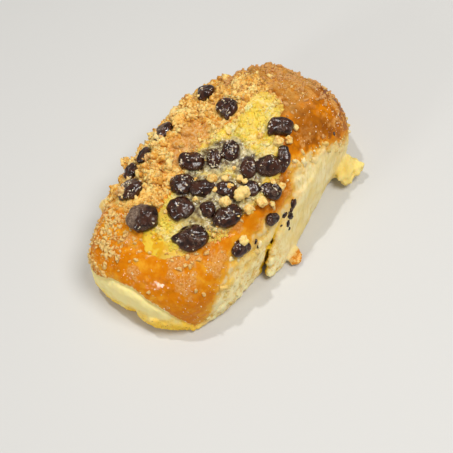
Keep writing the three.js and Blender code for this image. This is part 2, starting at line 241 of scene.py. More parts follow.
def top_level(x, y):
    """Level of the roll's upper surface over a point of its plan."""
    azimuth = np.arctan2(y, x)
    reach = np.minimum(np.hypot(x, y) / roll_radius(azimuth), 1)
    fullness = shoulder(azimuth)
    dome = (1 - reach**fullness) ** (1 / fullness)
    waist = along_roll(ROLL_WAIST, x)
    dip = TROUGH_DIP * (1 - smooth(0.6, 1.12, custard_reach(x, y)))
    swell = CRUST_SWELL * (np.sin(x * 0.17 + y * 0.11) + np.sin(y * 0.23 - x * 0.07 + 1.7))
    return waist + (along_roll(ROLL_RISE, x) - waist - dip + swell) * dome


def trough_depth(x, y):
    """How deep the hollow for the custard goes under the roll's upper surface."""
    reach = np.minimum(custard_reach(x, y), 1)
    return CUSTARD_DEPTH * (1 - reach**2.5) ** 0.4


def upright_foot(azimuth):
    return mix(FOOT_UPRIGHT[0], FOOT_UPRIGHT[1], smooth(0.2, 0.9, np.cos(azimuth)))


def flank_y(x, z):
    """Y of the smooth -Y flank over a point of its length, at a level."""
    azimuth = np.arctan2(-33, x)
    waist = along_roll(ROLL_WAIST, x)
    crown = along_roll(ROLL_RISE, x)
    above = z > waist
    power = np.where(above, SHOULDER[1], FOOT_FULLNESS)
    share = np.where(above, (z - waist) / (crown - waist), (1 - z / waist) / upright_foot(azimuth))
    return roll_radius(azimuth) * np.sin(azimuth) * (1 - np.abs(share)**power) ** (1 / power)


def slit_x(z):
    """X of the flap's free edge at a level."""
    rise = np.clip(z / SLIT_HEAD[1], 0, 1)
    return mix(SLIT_FOOT[0], SLIT_HEAD[0], rise**SLIT_BEND)


def foot_push(y, z):
    """How far the near end's foot stands out under the crust's lip."""
    lobes = sum(stand * (1 - np.minimum(np.abs(y - middle) / reach, 1) ** 2)
                for middle, reach, stand in FOOT_LOBES)
    return lobes * (1 - smooth(FOOT_LIP - 3, FOOT_LIP + 1, z))


def flap_hollow(x, z):
    past = x - slit_x(z)
    behind = smooth(-4, 4, past) * (1 - smooth(10, 24, past))
    return FLAP_HOLLOW * behind * (1 - smooth(20, SLIT_HEAD[1], z))


def crags(x, z):
    """Ridges of the crumb where neighbouring rolls tore away."""
    return np.sin(x * 0.52 + z * 0.35) * np.sin(z * 0.5 - x * 0.16) + 0.5 * np.sin(x * 0.9 - z * 0.7)


def torn_share(x, z):
    return smooth(-58, -46, x) * (1 - smooth(50, 62, x)) * (1 - smooth(22, 32, z))


def ball_grid(around, upright):
    """Azimuth and polar angle of a closed ball's points, its poles last, and its faces."""
    polar, azimuth = np.meshgrid(np.arange(1, upright) * np.pi / upright,
                                 np.arange(around) * 2 * np.pi / around - np.pi, indexing="ij")
    azimuth = np.append(azimuth.ravel(), [0, 0])
    polar = np.append(polar.ravel(), [0, np.pi])
    column = np.arange(around)
    after = np.roll(column, -1)
    row = np.arange(upright - 2)[:, None] * around
    quads = np.stack([row + column, row + around + column, row + around + after, row + after], -1)
    top = around * (upright - 1)
    last = top - around
    faces = quads.reshape(-1, 4).tolist()
    faces += [(top, a, b) for a, b in zip(column.tolist(), after.tolist())]
    faces += [(top + 1, last + b, last + a) for a, b in zip(column.tolist(), after.tolist())]
    return azimuth, polar, faces


def roll_points(azimuth, polar):
    """Points of the roll without flap and scraps, with the hollow for the custard."""
    level = np.pi / 2
    upper_share = 0.74
    foot_share = 0.92
    foot_end = math.radians(109)
    share = polar / np.pi
    bend = np.interp(share, [0, upper_share, foot_share, 1], [0, level, foot_end, np.pi])
    around = np.arctan2(0.75 * np.sin(azimuth), np.cos(azimuth))
    radius = roll_radius(around)
    above = bend <= level
    power = 2 / np.where(above, shoulder(around), FOOT_FULLNESS)
    out = np.abs(np.sin(bend)) ** power
    up = np.abs(np.cos(bend)) ** power
    x = radius * np.cos(around) * out
    y = radius * np.sin(around) * out
    waist = along_roll(ROLL_WAIST, x)
    below = np.maximum(waist - waist * upright_foot(around) * up, 0)
    z = np.where(above, top_level(x, y), below)
    flank = smooth(0.55, 0.95, out) * smooth(0.25, 0.7, np.abs(np.sin(around)))
    push = TORN_CRAGS * crags(x, z) - np.where(y < 0, flap_hollow(x, z), 0)
    y = y + np.sign(y) * flank * torn_share(x, z) * push
    x = x - smooth(0.5, 0.9, out) * smooth(0.8, 0.93, -np.cos(around)) * foot_push(y, z)
    z = z - np.where(above & (out < 0.9), trough_depth(x, y) * (custard_reach(x, y) < 1), 0)
    return np.stack([x, y, z], -1)


# What is grown onto the roll, and where its crust ends.
STREUSEL = {"count": 56, "smallest": 3.6, "largest": 7, "x": (-42, 62), "y": (8, 43), "seed": 11}
DOME_STREUSEL = {"count": 14, "smallest": 3, "largest": 4.6, "x": (34, 66), "y": (-24, 22), "seed": 5}
CLUMP_FLATNESS = 0.8
CLUMP_LIFT = 0.16  # of its width, out of the crust
CLUMP_SPACING = 0.46  # of two clumps' widths together
CHIPS = [
    (-41.5, 11, 14, 12, -55), (-33, 26, 12.5, 11.5, -52), (-36.5, -12.5, 14, 11.5, -55),
    (-28.5, 0, 12.5, 10.5, -52), (-19.5, -19, 13, 9.5, -30), (-19.5, 7, 11.5, 10, -40),
    (-8, 10, 11.5, 8.5, -60), (22.5, 12.5, 11, 9, 69), (27, -14, 11, 9.5, -60),
    (10, -20, 12, 9.5, -48), (16, -23, 12, 6.5, 34), (-1.5, 1.5, 9.5, 7, 34), (5.5, -2.5, 9.5, 7.5, 34),
    (4, -13, 9.5, 7.5, 34), (2, -26, 9.5, 7.5, -68), (-15.5, -2.5, 11, 8, -55),
    (-10.5, -11.5, 9.5, 7.5, -60), (-22.5, -10.5, 7.5, 7, 0), (-3.5, -19.5, 8, 7, -40),
    (-25.5, -29, 9.5, 7.5, -40), (-6, -31.5, 7.5, 6, -40), (-1, 33, 11, 8.5, 5),
    (-15.5, 32, 8.5, 7, 20), (-24.5, 34, 8.5, 7.5, 30), (25.5, 28.5, 9.5, 8, 20),
]  # the chocolate chips: X and Y, length, width, turn of the length from +X in degrees
FAR_SCRAPS = [
    ((49, -33.5, 6), (7, 5, 4), 10), ((52.5, -37.5, 6.5), (4, 3.6, 2.4), -50),
    ((44.5, -37, 4.5), (3.5, 3, 2.2), 30),
]  # torn shreds: middle, half sizes, turn
GOLDEN_FLAKE = ((-3, -39.5, 2.4), (4, 5.5, 1.5), -30)
LEFT_SHREDS = [((-39, 40, 22), (5, 3.6, 4), -10), ((13, 38, 36), (5, 4.2, 4.4), 5)]
FAR_RAGGEDNESS = 0.42
RAGGEDNESS = 0.22
DOUGH_GRID = (420, 200)  # points round the roll and from crown to underside
DOUGH_VOXEL = 0.68
FOOT_NOTCH = 1.0  # Y of the notch between the foot's lobes
BLISTERS = [(-61.2, -5.2, 28.0), (-52.4, -24.5, 26.9)]  # middles
FLAKY_PATCHES = [
    (-54, -14.5, 3), (-54, -21, 5), (-49.3, -21.7, 3), (-39, -26.4, 4.5), (-34.4, -26.1, 3),
    (-62, 1.5, 3.4), (-48.5, -12.5, 5), (-43.3, -17.5, 4), (-51.8, 12.6, 3.4),
]  # X, Y and reach of the larger ones on the near crust
BAKED_PATCH = (-1, 17, 12, 7.5)  # smooth baked streusel: an oval's X and Y, half length, half width
AMBER_PATCH = (40, -18, 11, 9)  # bare crust on the far dome
BROWNED_EDGE = (2, -29.5, 15, 5)
FLAKE_HEIGHT = 0.3  # of a flake of crumb under the crust
PIT_DEPTH = 0.2
CLOD_HEIGHTS = (0.6, 0.35)  # of the large and the small ones
FOOT_BULGE = 0.9
NOTCH_DEPTH = 1.5  # between the lobes
GROOVE_DEPTH = 0.9  # under the crust's edge at the near end
CHIP_LIP = 0.35  # height of the crust's lip round a chip
PATCH_HEIGHT = 0.12  # of a flaky patch
BLISTER_HEIGHT = 0.45
CREASE_DEPTH = 0.7
CREASE = [(-56, 13), (-51.5, 1)]  # X and Y of its ends
SMEAR = (-18, -32.3, 26.5)  # where melted chocolate stained the crumb
SMEAR_SIZE = (2.0, 1.5, 3.2)
GLAZE_DROPS = [(-61.8, -4.5, 28.2), (-58, -11, 29), (-53.7, -24.8, 25.4), (-50.2, -24.2, 28.5)]
CRUST_EDGE = [
    (-180, 24.4), (-173, 20.6), (-165, 17.3), (-159, 9.6), (-156.5, 4), (-153, 5), (-148.4, 14.6),
    (-145, 23), (-137.5, 29), (-132, 31), (-126, 29.5), (-116, 31), (-105, 31.6), (-98.6, 30.4),
    (-85, 29.5), (-78, 30), (-72, 31.5), (-67, 35), (-60, 39.5), (-52, 40), (-47, 38.5), (-40.5, 35),
    (-35.5, 31), (-31, 23), (-20, 15), (-6, 9), (15, 9), (35, 15), (55, 25), (90, 29), (125, 28),
    (145, 20), (158, 14), (166, 19), (171, 23.5), (180, 24.4),
]  # level of the crust's lower edge at an azimuth in degrees


def seeded(seed):
    """Even random numbers from 0 to 1, the same at every run."""
    state = seed
    while True:
        state = (state * 1664525 + 1013904223) % 2**32
        yield state / 2**32


def clump_places(band):
    """Places for a band's streusel clumps, clear of custard, chips and the roll's edge."""
    random = seeded(band["seed"])
    places = []
    for _ in range(40 * band["count"]):
        if len(places) == band["count"]:
            break
        x = mix(*band["x"], next(random))
        y = mix(*band["y"], next(random))
        across = mix(band["smallest"], band["largest"], next(random) ** 2)
        on_roll = math.hypot(x, y) < 0.985 * roll_radius(math.atan2(y, x))
        off_custard = custard_reach(x, y) > 1.08 + across / 60
        off_chips = all(math.hypot(chip[0] - x, chip[1] - y) > (chip[2] + across) / 2 + TOUCH_GAP
                        for chip in CHIPS)
        spaced = all(math.hypot(px - x, py - y) > CLUMP_SPACING * (size + across)
                     for px, py, size in places)
        if on_roll and off_custard and off_chips and spaced:
            places.append((x, y, across))
    return places


def surface_turn(x, y):
    """Turns upright to square off the roll's upper surface."""
    step = 2
    slope_x = (top_level(x + step, y) - top_level(x - step, y)) / (2 * step)
    slope_y = (top_level(x, y + step) - top_level(x, y - step)) / (2 * step)
    normal = Vector((-slope_x, -slope_y, 1)).normalized()
    return Vector((0, 0, 1)).rotation_difference(normal).to_matrix()


def settle(points, x, y, lift):
    """Puts points made about their own middle on the roll's upper surface, upright to it."""
    turn = np.array(surface_turn(x, y))
    return (points + [0, 0, lift]) @ turn.T + [x, y, top_level(x, y)]


def turned(points, degrees):
    """Points turned about the upright axis."""
    a = math.radians(degrees)
    return points @ np.array([[math.cos(a), math.sin(a), 0], [-math.sin(a), math.cos(a), 0], [0, 0, 1]])


def round_ball(detail):
    """Points of a ball of radius 1 and its faces."""
    shape = bmesh.new()
    bmesh.ops.create_icosphere(shape, subdivisions=detail, radius=1)
    points = np.array([v.co[:] for v in shape.verts])
    faces = [[v.index for v in face.verts] for face in shape.faces]
    shape.free()
    return points, faces


def flap_parts():
    """The flap: a sheet of crumb peeled off the flank, from its free edge to a root in the flank."""
    shape = bmesh.new()
    bmesh.ops.create_cube(shape, size=1)
    bmesh.ops.subdivide_edges(shape, edges=shape.edges[:], cuts=47, use_grid_fill=True)
    cube = np.array([v.co[:] for v in shape.verts]) + 0.5
    faces = [[v.index for v in face.verts] for face in shape.faces]
    shape.free()
    along, inward, rise = cube.T
    z = rise * SLIT_HEAD[1]
    rag = np.sin(z * 1.1) + 0.5 * np.sin(z * 2.9 + 1) + 0.35 * np.sin(z * 5.3)
    x = slit_x(z) + FLAP_RAG * rag * (1 - along) + along * mix(*FLAP_REACH, rise)
    stand = mix(*FLAP_STAND, rise) * (1 - smooth(0.2, 1, along))
    sink = 2 * smooth(0.75, 1, along)
    outer = flank_y(x, z) - stand + sink - 0.6 * TORN_CRAGS * crags(x, z) * (1 - along)
    return np.stack([x, outer + inward * mix(*FLAP_THICKNESS, along), z], -1), faces


def joined(parts):
    """One set of points and faces from several."""
    points = np.concatenate([p for p, _ in parts])
    faces = []
    start = 0
    for p, f in parts:
        faces += [[i + start for i in face] for face in f]
        start += len(p)
    return points, faces


def new_piece(name, points, faces):
    """An object at the origin with its place in its mesh, from points in millimetres."""
    mesh = bpy.data.meshes.new(name)
    mesh.from_pydata((points * MM).tolist(), [], faces)
    mesh.update()
    piece = bpy.data.objects.new(name, mesh)
    bpy.context.scene.collection.objects.link(piece)
    return piece


def keep_modified(piece):
    """Puts what the modifiers make into the mesh, and removes them."""
    depsgraph = bpy.context.evaluated_depsgraph_get()
    made = bpy.data.meshes.new_from_object(piece.evaluated_get(depsgraph))
    made.name = piece.name
    piece.modifiers.clear()
    piece.data = made


def fuse(piece, voxel, rounds):
    """Makes one even skin of overlapping closed shapes, and evens out its steps."""
    remesh = piece.modifiers.new("skin", "REMESH")
    remesh.mode = "VOXEL"
    remesh.voxel_size = voxel * MM
    even = piece.modifiers.new("even", "SMOOTH")
    even.factor = 0.5
    even.iterations = rounds
    keep_modified(piece)


def read_points(mesh):
    values = np.empty(len(mesh.vertices) * 3)
    mesh.vertices.foreach_get("co", values)
    return values.reshape(-1, 3) / MM


def read_normals(mesh):
    values = np.empty(len(mesh.vertices) * 3)
    mesh.vertex_normals.foreach_get("vector", values)
    return values.reshape(-1, 3)


def write_points(mesh, points):
    mesh.vertices.foreach_set("co", (points * MM).ravel())
    mesh.update()


def keep_value(mesh, name, values):
    """Stores a value for each point, or one for them all, for the material to read."""
    values = np.zeros(len(mesh.vertices)) + values
    mesh.attributes.new(name, "FLOAT", "POINT").data.foreach_set("value", values)


def ripple(points, size, seed=0, octaves=1):
    """Soft noise of about -1 to 1, with lumps of that size in millimetres."""
    spots = (points / size + 17.3 * seed).tolist()
    if octaves == 1:
        return np.array([noise.noise(p) for p in spots]) * 1.6
    return np.array([noise.fractal(p, 1.0, 2.1, octaves) for p in spots]) * 1.4


def pebbles(points, size, seed=0):
    """Rounded pebbles of that size: 1 on a pebble's middle, about 0 in the cracks between."""
    spots = (points / size + 9.1 * seed).tolist()
    near = np.array([noise.voronoi(p)[0][0] for p in spots])
    return 1 - (near / 0.75) ** 2


def flat_cells(points, size, seed=0):
    """Flat cells of that size: each cell's own number from 0 to 1, and the way to its edge."""
    spots = (points / size + 9.1 * seed).tolist()
    found = [noise.voronoi(p) for p in spots]
    middles = np.array([middle[0][:] for _, middle in found])
    gap = np.array([ways[1] - ways[0] for ways, _ in found])
    return (np.sin(middles @ [12.9, 78.2, 37.7]) * 437.5) % 1, gap


def warped(points, size, amount, seed=0):
    """Points pushed about by soft noise, so that a pattern on them loses its evenness."""
    return points + amount * np.stack([ripple(points, size, seed + shift) for shift in (31, 37, 43)], -1)


def crumbly(points, size, seed, spread, push):
    """Pebbles of uneven shape, as their pattern is pushed about."""
    return pebbles(warped(points, spread, push, seed), size, seed)


def bell(distance, width, power=2):
    """1 where a distance is 0, fading out round it. A higher power keeps it level for longer."""
    return np.exp(-(distance / width) ** power)


def distance_to(points, spot):
    return np.linalg.norm(points - spot, axis=1)


def oval_reach(x, y, oval):
    """0 in the middle of an oval of the plan, 1 on its outline."""
    middle_x, middle_y, half_length, half_width = oval
    return np.hypot((x - middle_x) / half_length, (y - middle_y) / half_width)


def chip_distance(points):
    """Plan distance from each point to the nearest chip's rim, negative on a chip."""
    nearest = np.full(len(points), 99.0)
    for x, y, long, wide, turn in CHIPS:
        offset = turned(points * [1, 1, 0] - [x, y, 0], -turn)
        reach = np.hypot(offset[:, 0] / (long / 2), offset[:, 1] / (wide / 2))
        nearest = np.minimum(nearest, (reach - 1) * wide / 2)
    return nearest


azimuth, polar, faces = ball_grid(*DOUGH_GRID)
dough_parts = [(roll_points(azimuth, polar), faces), flap_parts()]
ball, ball_faces = round_ball(3)
for scrap in (*FAR_SCRAPS, GOLDEN_FLAKE, *LEFT_SHREDS):
    middle, half, turn = scrap
    ragged = FAR_RAGGEDNESS if scrap in FAR_SCRAPS else RAGGEDNESS
    torn = 1 + ragged * ripple(ball, 0.6, middle[0])[:, None]
    dough_parts.append((turned(ball * torn * half, turn) + middle, ball_faces))
for x, y, across in clump_places(STREUSEL) + clump_places(DOME_STREUSEL):
    far_end = smooth(20, 42, x)
    lump = ball * across * mix(0.46, 0.36, far_end) * (1 + 0.2 * ripple(ball, 0.8, x)[:, None])
    lift = across * CLUMP_LIFT * mix(1, 0.3, far_end)
    dough_parts.append((settle(lump * [1, 1, CLUMP_FLATNESS], x, y, lift), ball_faces))
dough = new_piece("roll_dough", *joined(dough_parts))
fuse(dough, DOUGH_VOXEL, 3)

points = read_points(dough.data)
normals = read_normals(dough.data)
x, y, z = points.T
flap_side = y < 0
near_end = smooth(-52, -60, x)

# Where the crust ends and the torn crumb begins. Most values run from 0 to 1, and heights are in mm.
edge_level = np.interp(np.degrees(np.arctan2(y, x)), *zip(*CRUST_EDGE))
far_side = smooth(10, 22, x) * flap_side
wander = mix(1.5, 2.6, far_side) * ripple(points, 6, 1) + mix(0.7, 1.6, far_side) * ripple(points, 2.2, 2)
above_edge = z - edge_level + wander * mix(1, 0.25, near_end)
torn = (1 - smooth(-1.0, 1.0, above_edge)) * (1 - near_end * smooth(30, 22, np.abs(y - 3)))
grainy = smooth(2, -16, x + 3 * ripple(points, 6, 40)) * mix(1, 0.6, y > 0)  # most at the near end
crust = smooth(-0.4, 0.4, above_edge)
fade_width = mix(mix(1.8, 3.6, smooth(10, 40, x)), 0.5, near_end)
browning = smooth(-fade_width, fade_width, above_edge + 0.9 * ripple(points, 1.4, 28))
underside = smooth(-0.75, -0.95, normals[:, 2]) * smooth(3, 0.5, z)

# Streusel covers the +Y shoulder from the custard's edge outwards, and thins out over the dome.
STREUSEL_INNER = [(-44, 21), (-40, 14), (-35, 9), (-26, 8.5), (-15, 10.5), (-3, 9), (10, 8), (18, 7.4),
                  (25, 5), (33, 3), (45, 5), (62, 12)]
inner_y = np.interp(x, *zip(*STREUSEL_INNER))
carpet = smooth(-0.8, 0.8, y - inner_y + 1.2 * ripple(points, 4, 3)) * smooth(-45, -40, x)
carpet = carpet * (1 - smooth(38, 52, x)) * smooth(19, 25, z)
shreds = sum(bell(distance_to(points, spot), 5.2, 8) for spot, _, _ in LEFT_SHREDS)
carpet = carpet * (1 - shreds)
crust = crust * (1 - shreds)
browning = browning * (1 - shreds)
baked_patch = 1 - smooth(0.7, 1.15, oval_reach(x, y, BAKED_PATCH) + 0.12 * ripple(points, 3, 4))
dome_crumbs = smooth(26, 40, x + 0.25 * y) * smooth(-20, -8, y - 0.25 * (x - 40)) * smooth(14, 24, z)
dome_crumbs = dome_crumbs * smooth(1.02, 1.12, custard_reach(x, y))
amber_patch = 1 - smooth(0.8, 1.2, oval_reach(x, y, AMBER_PATCH))

flap_outer = flank_y(x, np.minimum(z, 30)) - mix(*FLAP_STAND, np.minimum(z / SLIT_HEAD[1], 1))
past_slit = x - slit_x(z)
# The gap behind the flap is painted a deeper gold: painted shade in the gap.
crevice = smooth(0.8, 2.2, y - flap_outer) * smooth(-4, -1, past_slit) * smooth(30, 10, past_slit)
crevice = crevice * smooth(32, 28, z) * flap_side

# Torn crumb: soft strands that lean along the tear, low swells, small pits, and flakes under the crust.
leaning = points - np.outer(z, [0.35, 0, 0])
strands = ripple(leaning * [1 / 1.1, 1 / 1.1, 1 / 7], 1, 5, 2)
tears = 1 - 2.4 * np.abs(ripple(leaning * [1 / 3.4, 1 / 3.4, 1 / 11], 1, 6))
pits = smooth(0.7, 1, pebbles(points, 1.5, 7)) * smooth(0.0, 0.4, ripple(points, 5, 15)) * grainy
flake_height, flake_gap = flat_cells(points, 2.6, 8)
flakes = smooth(0.5, 0.6, flake_height) * smooth(0.02, 0.12, flake_gap)
flakes = flakes * smooth(-6, -2.5, above_edge) * (1 - smooth(-0.8, 0.2, above_edge)) * (1 - near_end)
coarse_crumb = crumbly(points, 2.9, 29, 2, 0.9) + 0.6 * crumbly(points, 1.6, 30, 1, 0.4)
coarse_crumb = coarse_crumb + 0.6 * ripple(points, 4.5, 32)
relief = torn * (0.35 * ripple(points, 6, 16) + mix(0.12, 0.06, grainy) * strands
                 + mix(0.05, 0.15, grainy) * np.maximum(tears, -0.6)
                 - PIT_DEPTH * pits + FLAKE_HEIGHT * flakes
                 + 0.07 * ripple(points, 0.8, 17) + mix(0.08, 0.5, grainy) * coarse_crumb)
relief -= 0.35 * (1 - crust) * smooth(-5, 0, above_edge)
frayed_top = bell(above_edge + 1.5, 4.0) * smooth(6, 16, x) * smooth(66, 56, x) * flap_side
relief += frayed_top * (0.55 * coarse_crumb + 0.1 * ripple(points, 1, 39))

# The foot of the near end: two soft lobes with a notch between them and a grainy golden lower rim.
foot = near_end * (1 - crust)
height_share = np.clip(z / np.maximum(edge_level, 1), 0, 1)
notch = bell(y - FOOT_NOTCH, 2.4) * smooth(15, 3, z)
groove = bell(above_edge + 0.9, 1.0)
rim = smooth(13, 5, z + 2.5 * ripple(points, 3, 18) + 0.1 * y) * foot
lobes = FOOT_BULGE * np.sin(np.pi * height_share) - NOTCH_DEPTH * notch - GROOVE_DEPTH * groove
relief += foot * (lobes + 0.35 * ripple(points, 4, 19))
relief += foot * 0.28 * crumbly(points, 3.1, 48, 2, 0.8)
relief += rim * (0.55 * crumbly(points, 2.2, 20, 1.2, 0.5) + 0.15 * ripple(points, 0.9, 21))

# Streusel baked into the crust: clods on clods. Loose grains are strewn over them later.
clods = crumbly(points, 2.7, 9, 2.2, 1.0)
small_clods = crumbly(points, 1.25, 10, 1.0, 0.4)
bed = np.maximum(carpet * (1 - 0.85 * baked_patch), 0.3 * dome_crumbs) * crust
heaps = 0.7 * ripple(points, 5.5, 22) + CLOD_HEIGHTS[0] * clods + CLOD_HEIGHTS[1] * small_clods
relief += bed * (heaps + 0.1 * ripple(points, 0.7, 23))
smooth_patch = carpet * baked_patch * crust
relief += smooth_patch * (0.35 * ripple(points, 3.5, 24, 2) + 0.12 * ripple(points, 0.9, 25))

# Bare crust: low wrinkles, raised flaky patches, two blisters, a crease, and a soft lip round each chip.
skin = crust * (1 - np.maximum(bed, carpet * baked_patch))
patches = ripple(warped(points, 2, 1.2, 11), 7, 12, 3) * smooth(-48, -30, x) - 0.15
for patch_x, patch_y, reach in FLAKY_PATCHES:
    patches = np.maximum(patches, 0.9 * (1 - np.hypot(x - patch_x, y - patch_y) / reach))
frayed = bell(above_edge - 1.0, 0.9) * smooth(-18, -12, x) * smooth(15, 9, x) * flap_side
patches = smooth(0.08, 0.3, patches + 0.35 * ripple(points, 2.4, 46) + 0.2 * ripple(points, 1.1, 44))
patches = np.maximum(patches, frayed) * skin * (1 - 0.7 * amber_patch)
chip_lip = bell(np.maximum(chip_distance(points), 0), 1.0)
relief += skin * (0.16 * ripple(points, 5, 13) + 0.035 * ripple(points, 1.1, 14) + CHIP_LIP * chip_lip)
grit = 0.12 * crumbly(points, 1.1, 26, 1, 0.3)
relief += patches * (PATCH_HEIGHT + grit + 0.05 * ripple(points, 0.6, 45))
for spot in BLISTERS:
    away = distance_to(points, spot)
    relief += BLISTER_HEIGHT * bell(away, 1.1) - 0.2 * bell(away - 1.9, 0.7)
crease_end, crease_start = np.array(CREASE)
crease_length = np.linalg.norm(crease_end - crease_start)
along = (crease_end - crease_start) / crease_length
offset = points[:, :2] - crease_start
run = np.clip(offset @ along, 0, crease_length)
beside = distance_to(offset, np.outer(run, along))
relief -= CREASE_DEPTH * bell(beside, 0.8) * (z > 20)
relief += 0.12 * skin * smooth(-35, -50, x) * ripple(points, 2.4, 41)
relief *= smooth(0.0, 1.5, z)  # the underside stays flat
points += normals * relief[:, None]
points[:, 2] = np.maximum(points[:, 2], 0)
write_points(dough.data, points)

# How far each part of the crust is browned, and what stains or glazes it.
bake = 0.31 + 0.37 * smooth(5, 45, x) + 0.2 * ripple(points * [1, 0.6, 1], 9, 27, 2)
bake += 0.12 * dome_crumbs + 0.4 * smooth(52, 66, x) * smooth(10, 24, z) * smooth(20, -5, y)
bake += 0.42 * bell(oval_reach(x, y, BROWNED_EDGE), 1)
bake -= 0.34 * smooth(7, 0, above_edge) * (1 - near_end)
smear = bell(distance_to((points - SMEAR) / SMEAR_SIZE, 0), 1) * smooth(-0.5, 0.2, strands)
glaze = ripple(points, 2.4, 41) + 0.4 * ripple(points, 1, 42)
glaze = smooth(0.5, 0.75, glaze) * smooth(-35, -50, x)
for spot in GLAZE_DROPS:
    glaze = np.maximum(glaze, bell(distance_to(points, spot), 2.6, 4))
bright_shred = sum(bell(distance_to(points, spot), 6, 8) for spot, _, _ in FAR_SCRAPS)
golden_flake = smooth(-40.2, -41.2, y) * smooth(6, 4, z) * smooth(8, 5, np.abs(x + 3))
stain = smooth(10, -30, x) * smooth(12, 26, z + 8 * ripple(points, 5, 33)) * (y < 0)
for name, values in {
    "crust": browning,
    "bake": np.clip(bake, 0, 1),
    "bed": bed,
    "clods": clods * 0.6 + small_clods * 0.4,
    "smooth patch": smooth_patch,
    "patch": patches,
    "glaze": glaze * skin,
    "strands": strands,
    "lumps": coarse_crumb,
    "grainy": np.maximum(grainy, frayed_top),
    "custard stain": (1 - crust) * stain,
    "toast": bell(np.minimum(above_edge, 0), 3.6) * (1 - near_end) * (1 - shreds),
    "flake": flakes,
    "crevice": crevice,
    "bright shred": np.clip(bright_shred, 0, 1),
    "smear": smear,
    "foot": foot,
    "rim": rim,
    "golden flake": golden_flake,
    "underside": underside,
}.items():
    keep_value(dough.data, name, values)


def add_node(tree, kind, links=(), **settings):
    """A node with its settings, its inputs linked or set to a value. Gives back its outputs."""
    made = tree.nodes.new(kind)
    for key, value in settings.items():
        setattr(made, key, value)
    for key, source in dict(links).items():
        if isinstance(source, bpy.types.NodeSocket):
            tree.links.new(source, made.inputs[key])
        else:
            made.inputs[key].default_value = source
    return made.outputs


def speckle_effect():
    """Soft noise in lumps of one size, its range stretched. Crumb, custard and chocolate all have it."""
    tree = bpy.data.node_groups.new("speckle", "ShaderNodeTree")
    for name in ("Lumps per mm", "Detail", "Low", "High", "Start", "End"):
        tree.interface.new_socket(name, in_out="INPUT", socket_type="NodeSocketFloat")
    tree.interface.new_socket("Speckle", in_out="OUTPUT", socket_type="NodeSocketFloat")
    given = add_node(tree, "NodeGroupInput")
    place = add_node(tree, "ShaderNodeTexCoord")["Object"]
    place = add_node(tree, "ShaderNodeVectorMath", {0: place, 3: 1 / MM}, operation="SCALE")[0]
    noise_links = {"Vector": place, "Scale": given["Lumps per mm"], "Detail": given["Detail"]}
    lumps = add_node(tree, "ShaderNodeTexNoise", noise_links)["Fac"]
    stretch = {"Value": lumps, "From Min": given["Low"], "From Max": given["High"],
               "To Min": given["Start"], "To Max": given["End"]}
    stretched = add_node(tree, "ShaderNodeMapRange", stretch, interpolation_type="SMOOTHSTEP")[0]
    add_node(tree, "NodeGroupOutput", {0: stretched})
    return tree


speckle = speckle_effect()


class Finish:
    """One material, with a call for each kind of node that colours it. Each gives back an output."""

    def __init__(self, name, **shader_values):
        self.material, self.shader = new_material(name, **shader_values)
        self.tree = self.material.node_tree

    def value(self, name):
        """A value that each point of the mesh holds."""
        return add_node(self.tree, "ShaderNodeAttribute", attribute_name=name)["Fac"]

    def speckle(self, size, detail=2.0, low=0.0, high=1.0, start=0.0, end=1.0):
        """Noise with lumps of that size in millimetres, with low to high stretched to start to end."""
        links = {"Lumps per mm": 1 / size, "Detail": detail, "Low": low, "High": high, "Start": start,
                 "End": end}
        return add_node(self.tree, "ShaderNodeGroup", links, node_tree=speckle)[0]

    def ramp(self, source, low, high, start=0.0, end=1.0):
        links = {"Value": source, "From Min": low, "From Max": high, "To Min": start, "To Max": end}
        return add_node(self.tree, "ShaderNodeMapRange", links, interpolation_type="SMOOTHSTEP")[0]

    def math(self, operation, a, b):
        return add_node(self.tree, "ShaderNodeMath", {0: a, 1: b}, operation=operation)[0]

    def blend(self, share, first, second):
        """One colour into another. A colour is a #rrggbb code or another call's output."""
        links = {0: share, 6: first, 7: second}
        links = {k: paint(v) if isinstance(v, str) else v for k, v in links.items()}
        return add_node(self.tree, "ShaderNodeMix", links, data_type="RGBA")[2]

    def mottled(self, size, detail, low, high, first, second):
        """Two colours in lumps of that size."""
        return self.blend(self.speckle(size, detail, low, high), first, second)

    def over(self, base, *layers):
        """Colours laid over a base one by one, each by a value of the mesh times a strength."""
        for name, strength, colour in layers:
            base = self.blend(self.math("MULTIPLY", self.value(name), strength), base, colour)
        return base

    def use(self, **sockets):
        """Links outputs to the shader's sockets, with underscores for blanks."""
        for name, source in sockets.items():
            self.tree.links.new(source, self.shader.inputs[name.replace("_", " ")])

    def bump(self, height, depth):
        """Roughens the surface by a height in millimetres."""
        links = {"Height": height, "Strength": 1.0, "Distance": depth * MM}
        self.use(Normal=add_node(self.tree, "ShaderNodeBump", links)[0])


SOFT_LIGHT = (1.0, 0.7, 0.4)  # how far red, green and blue light spread under the surface


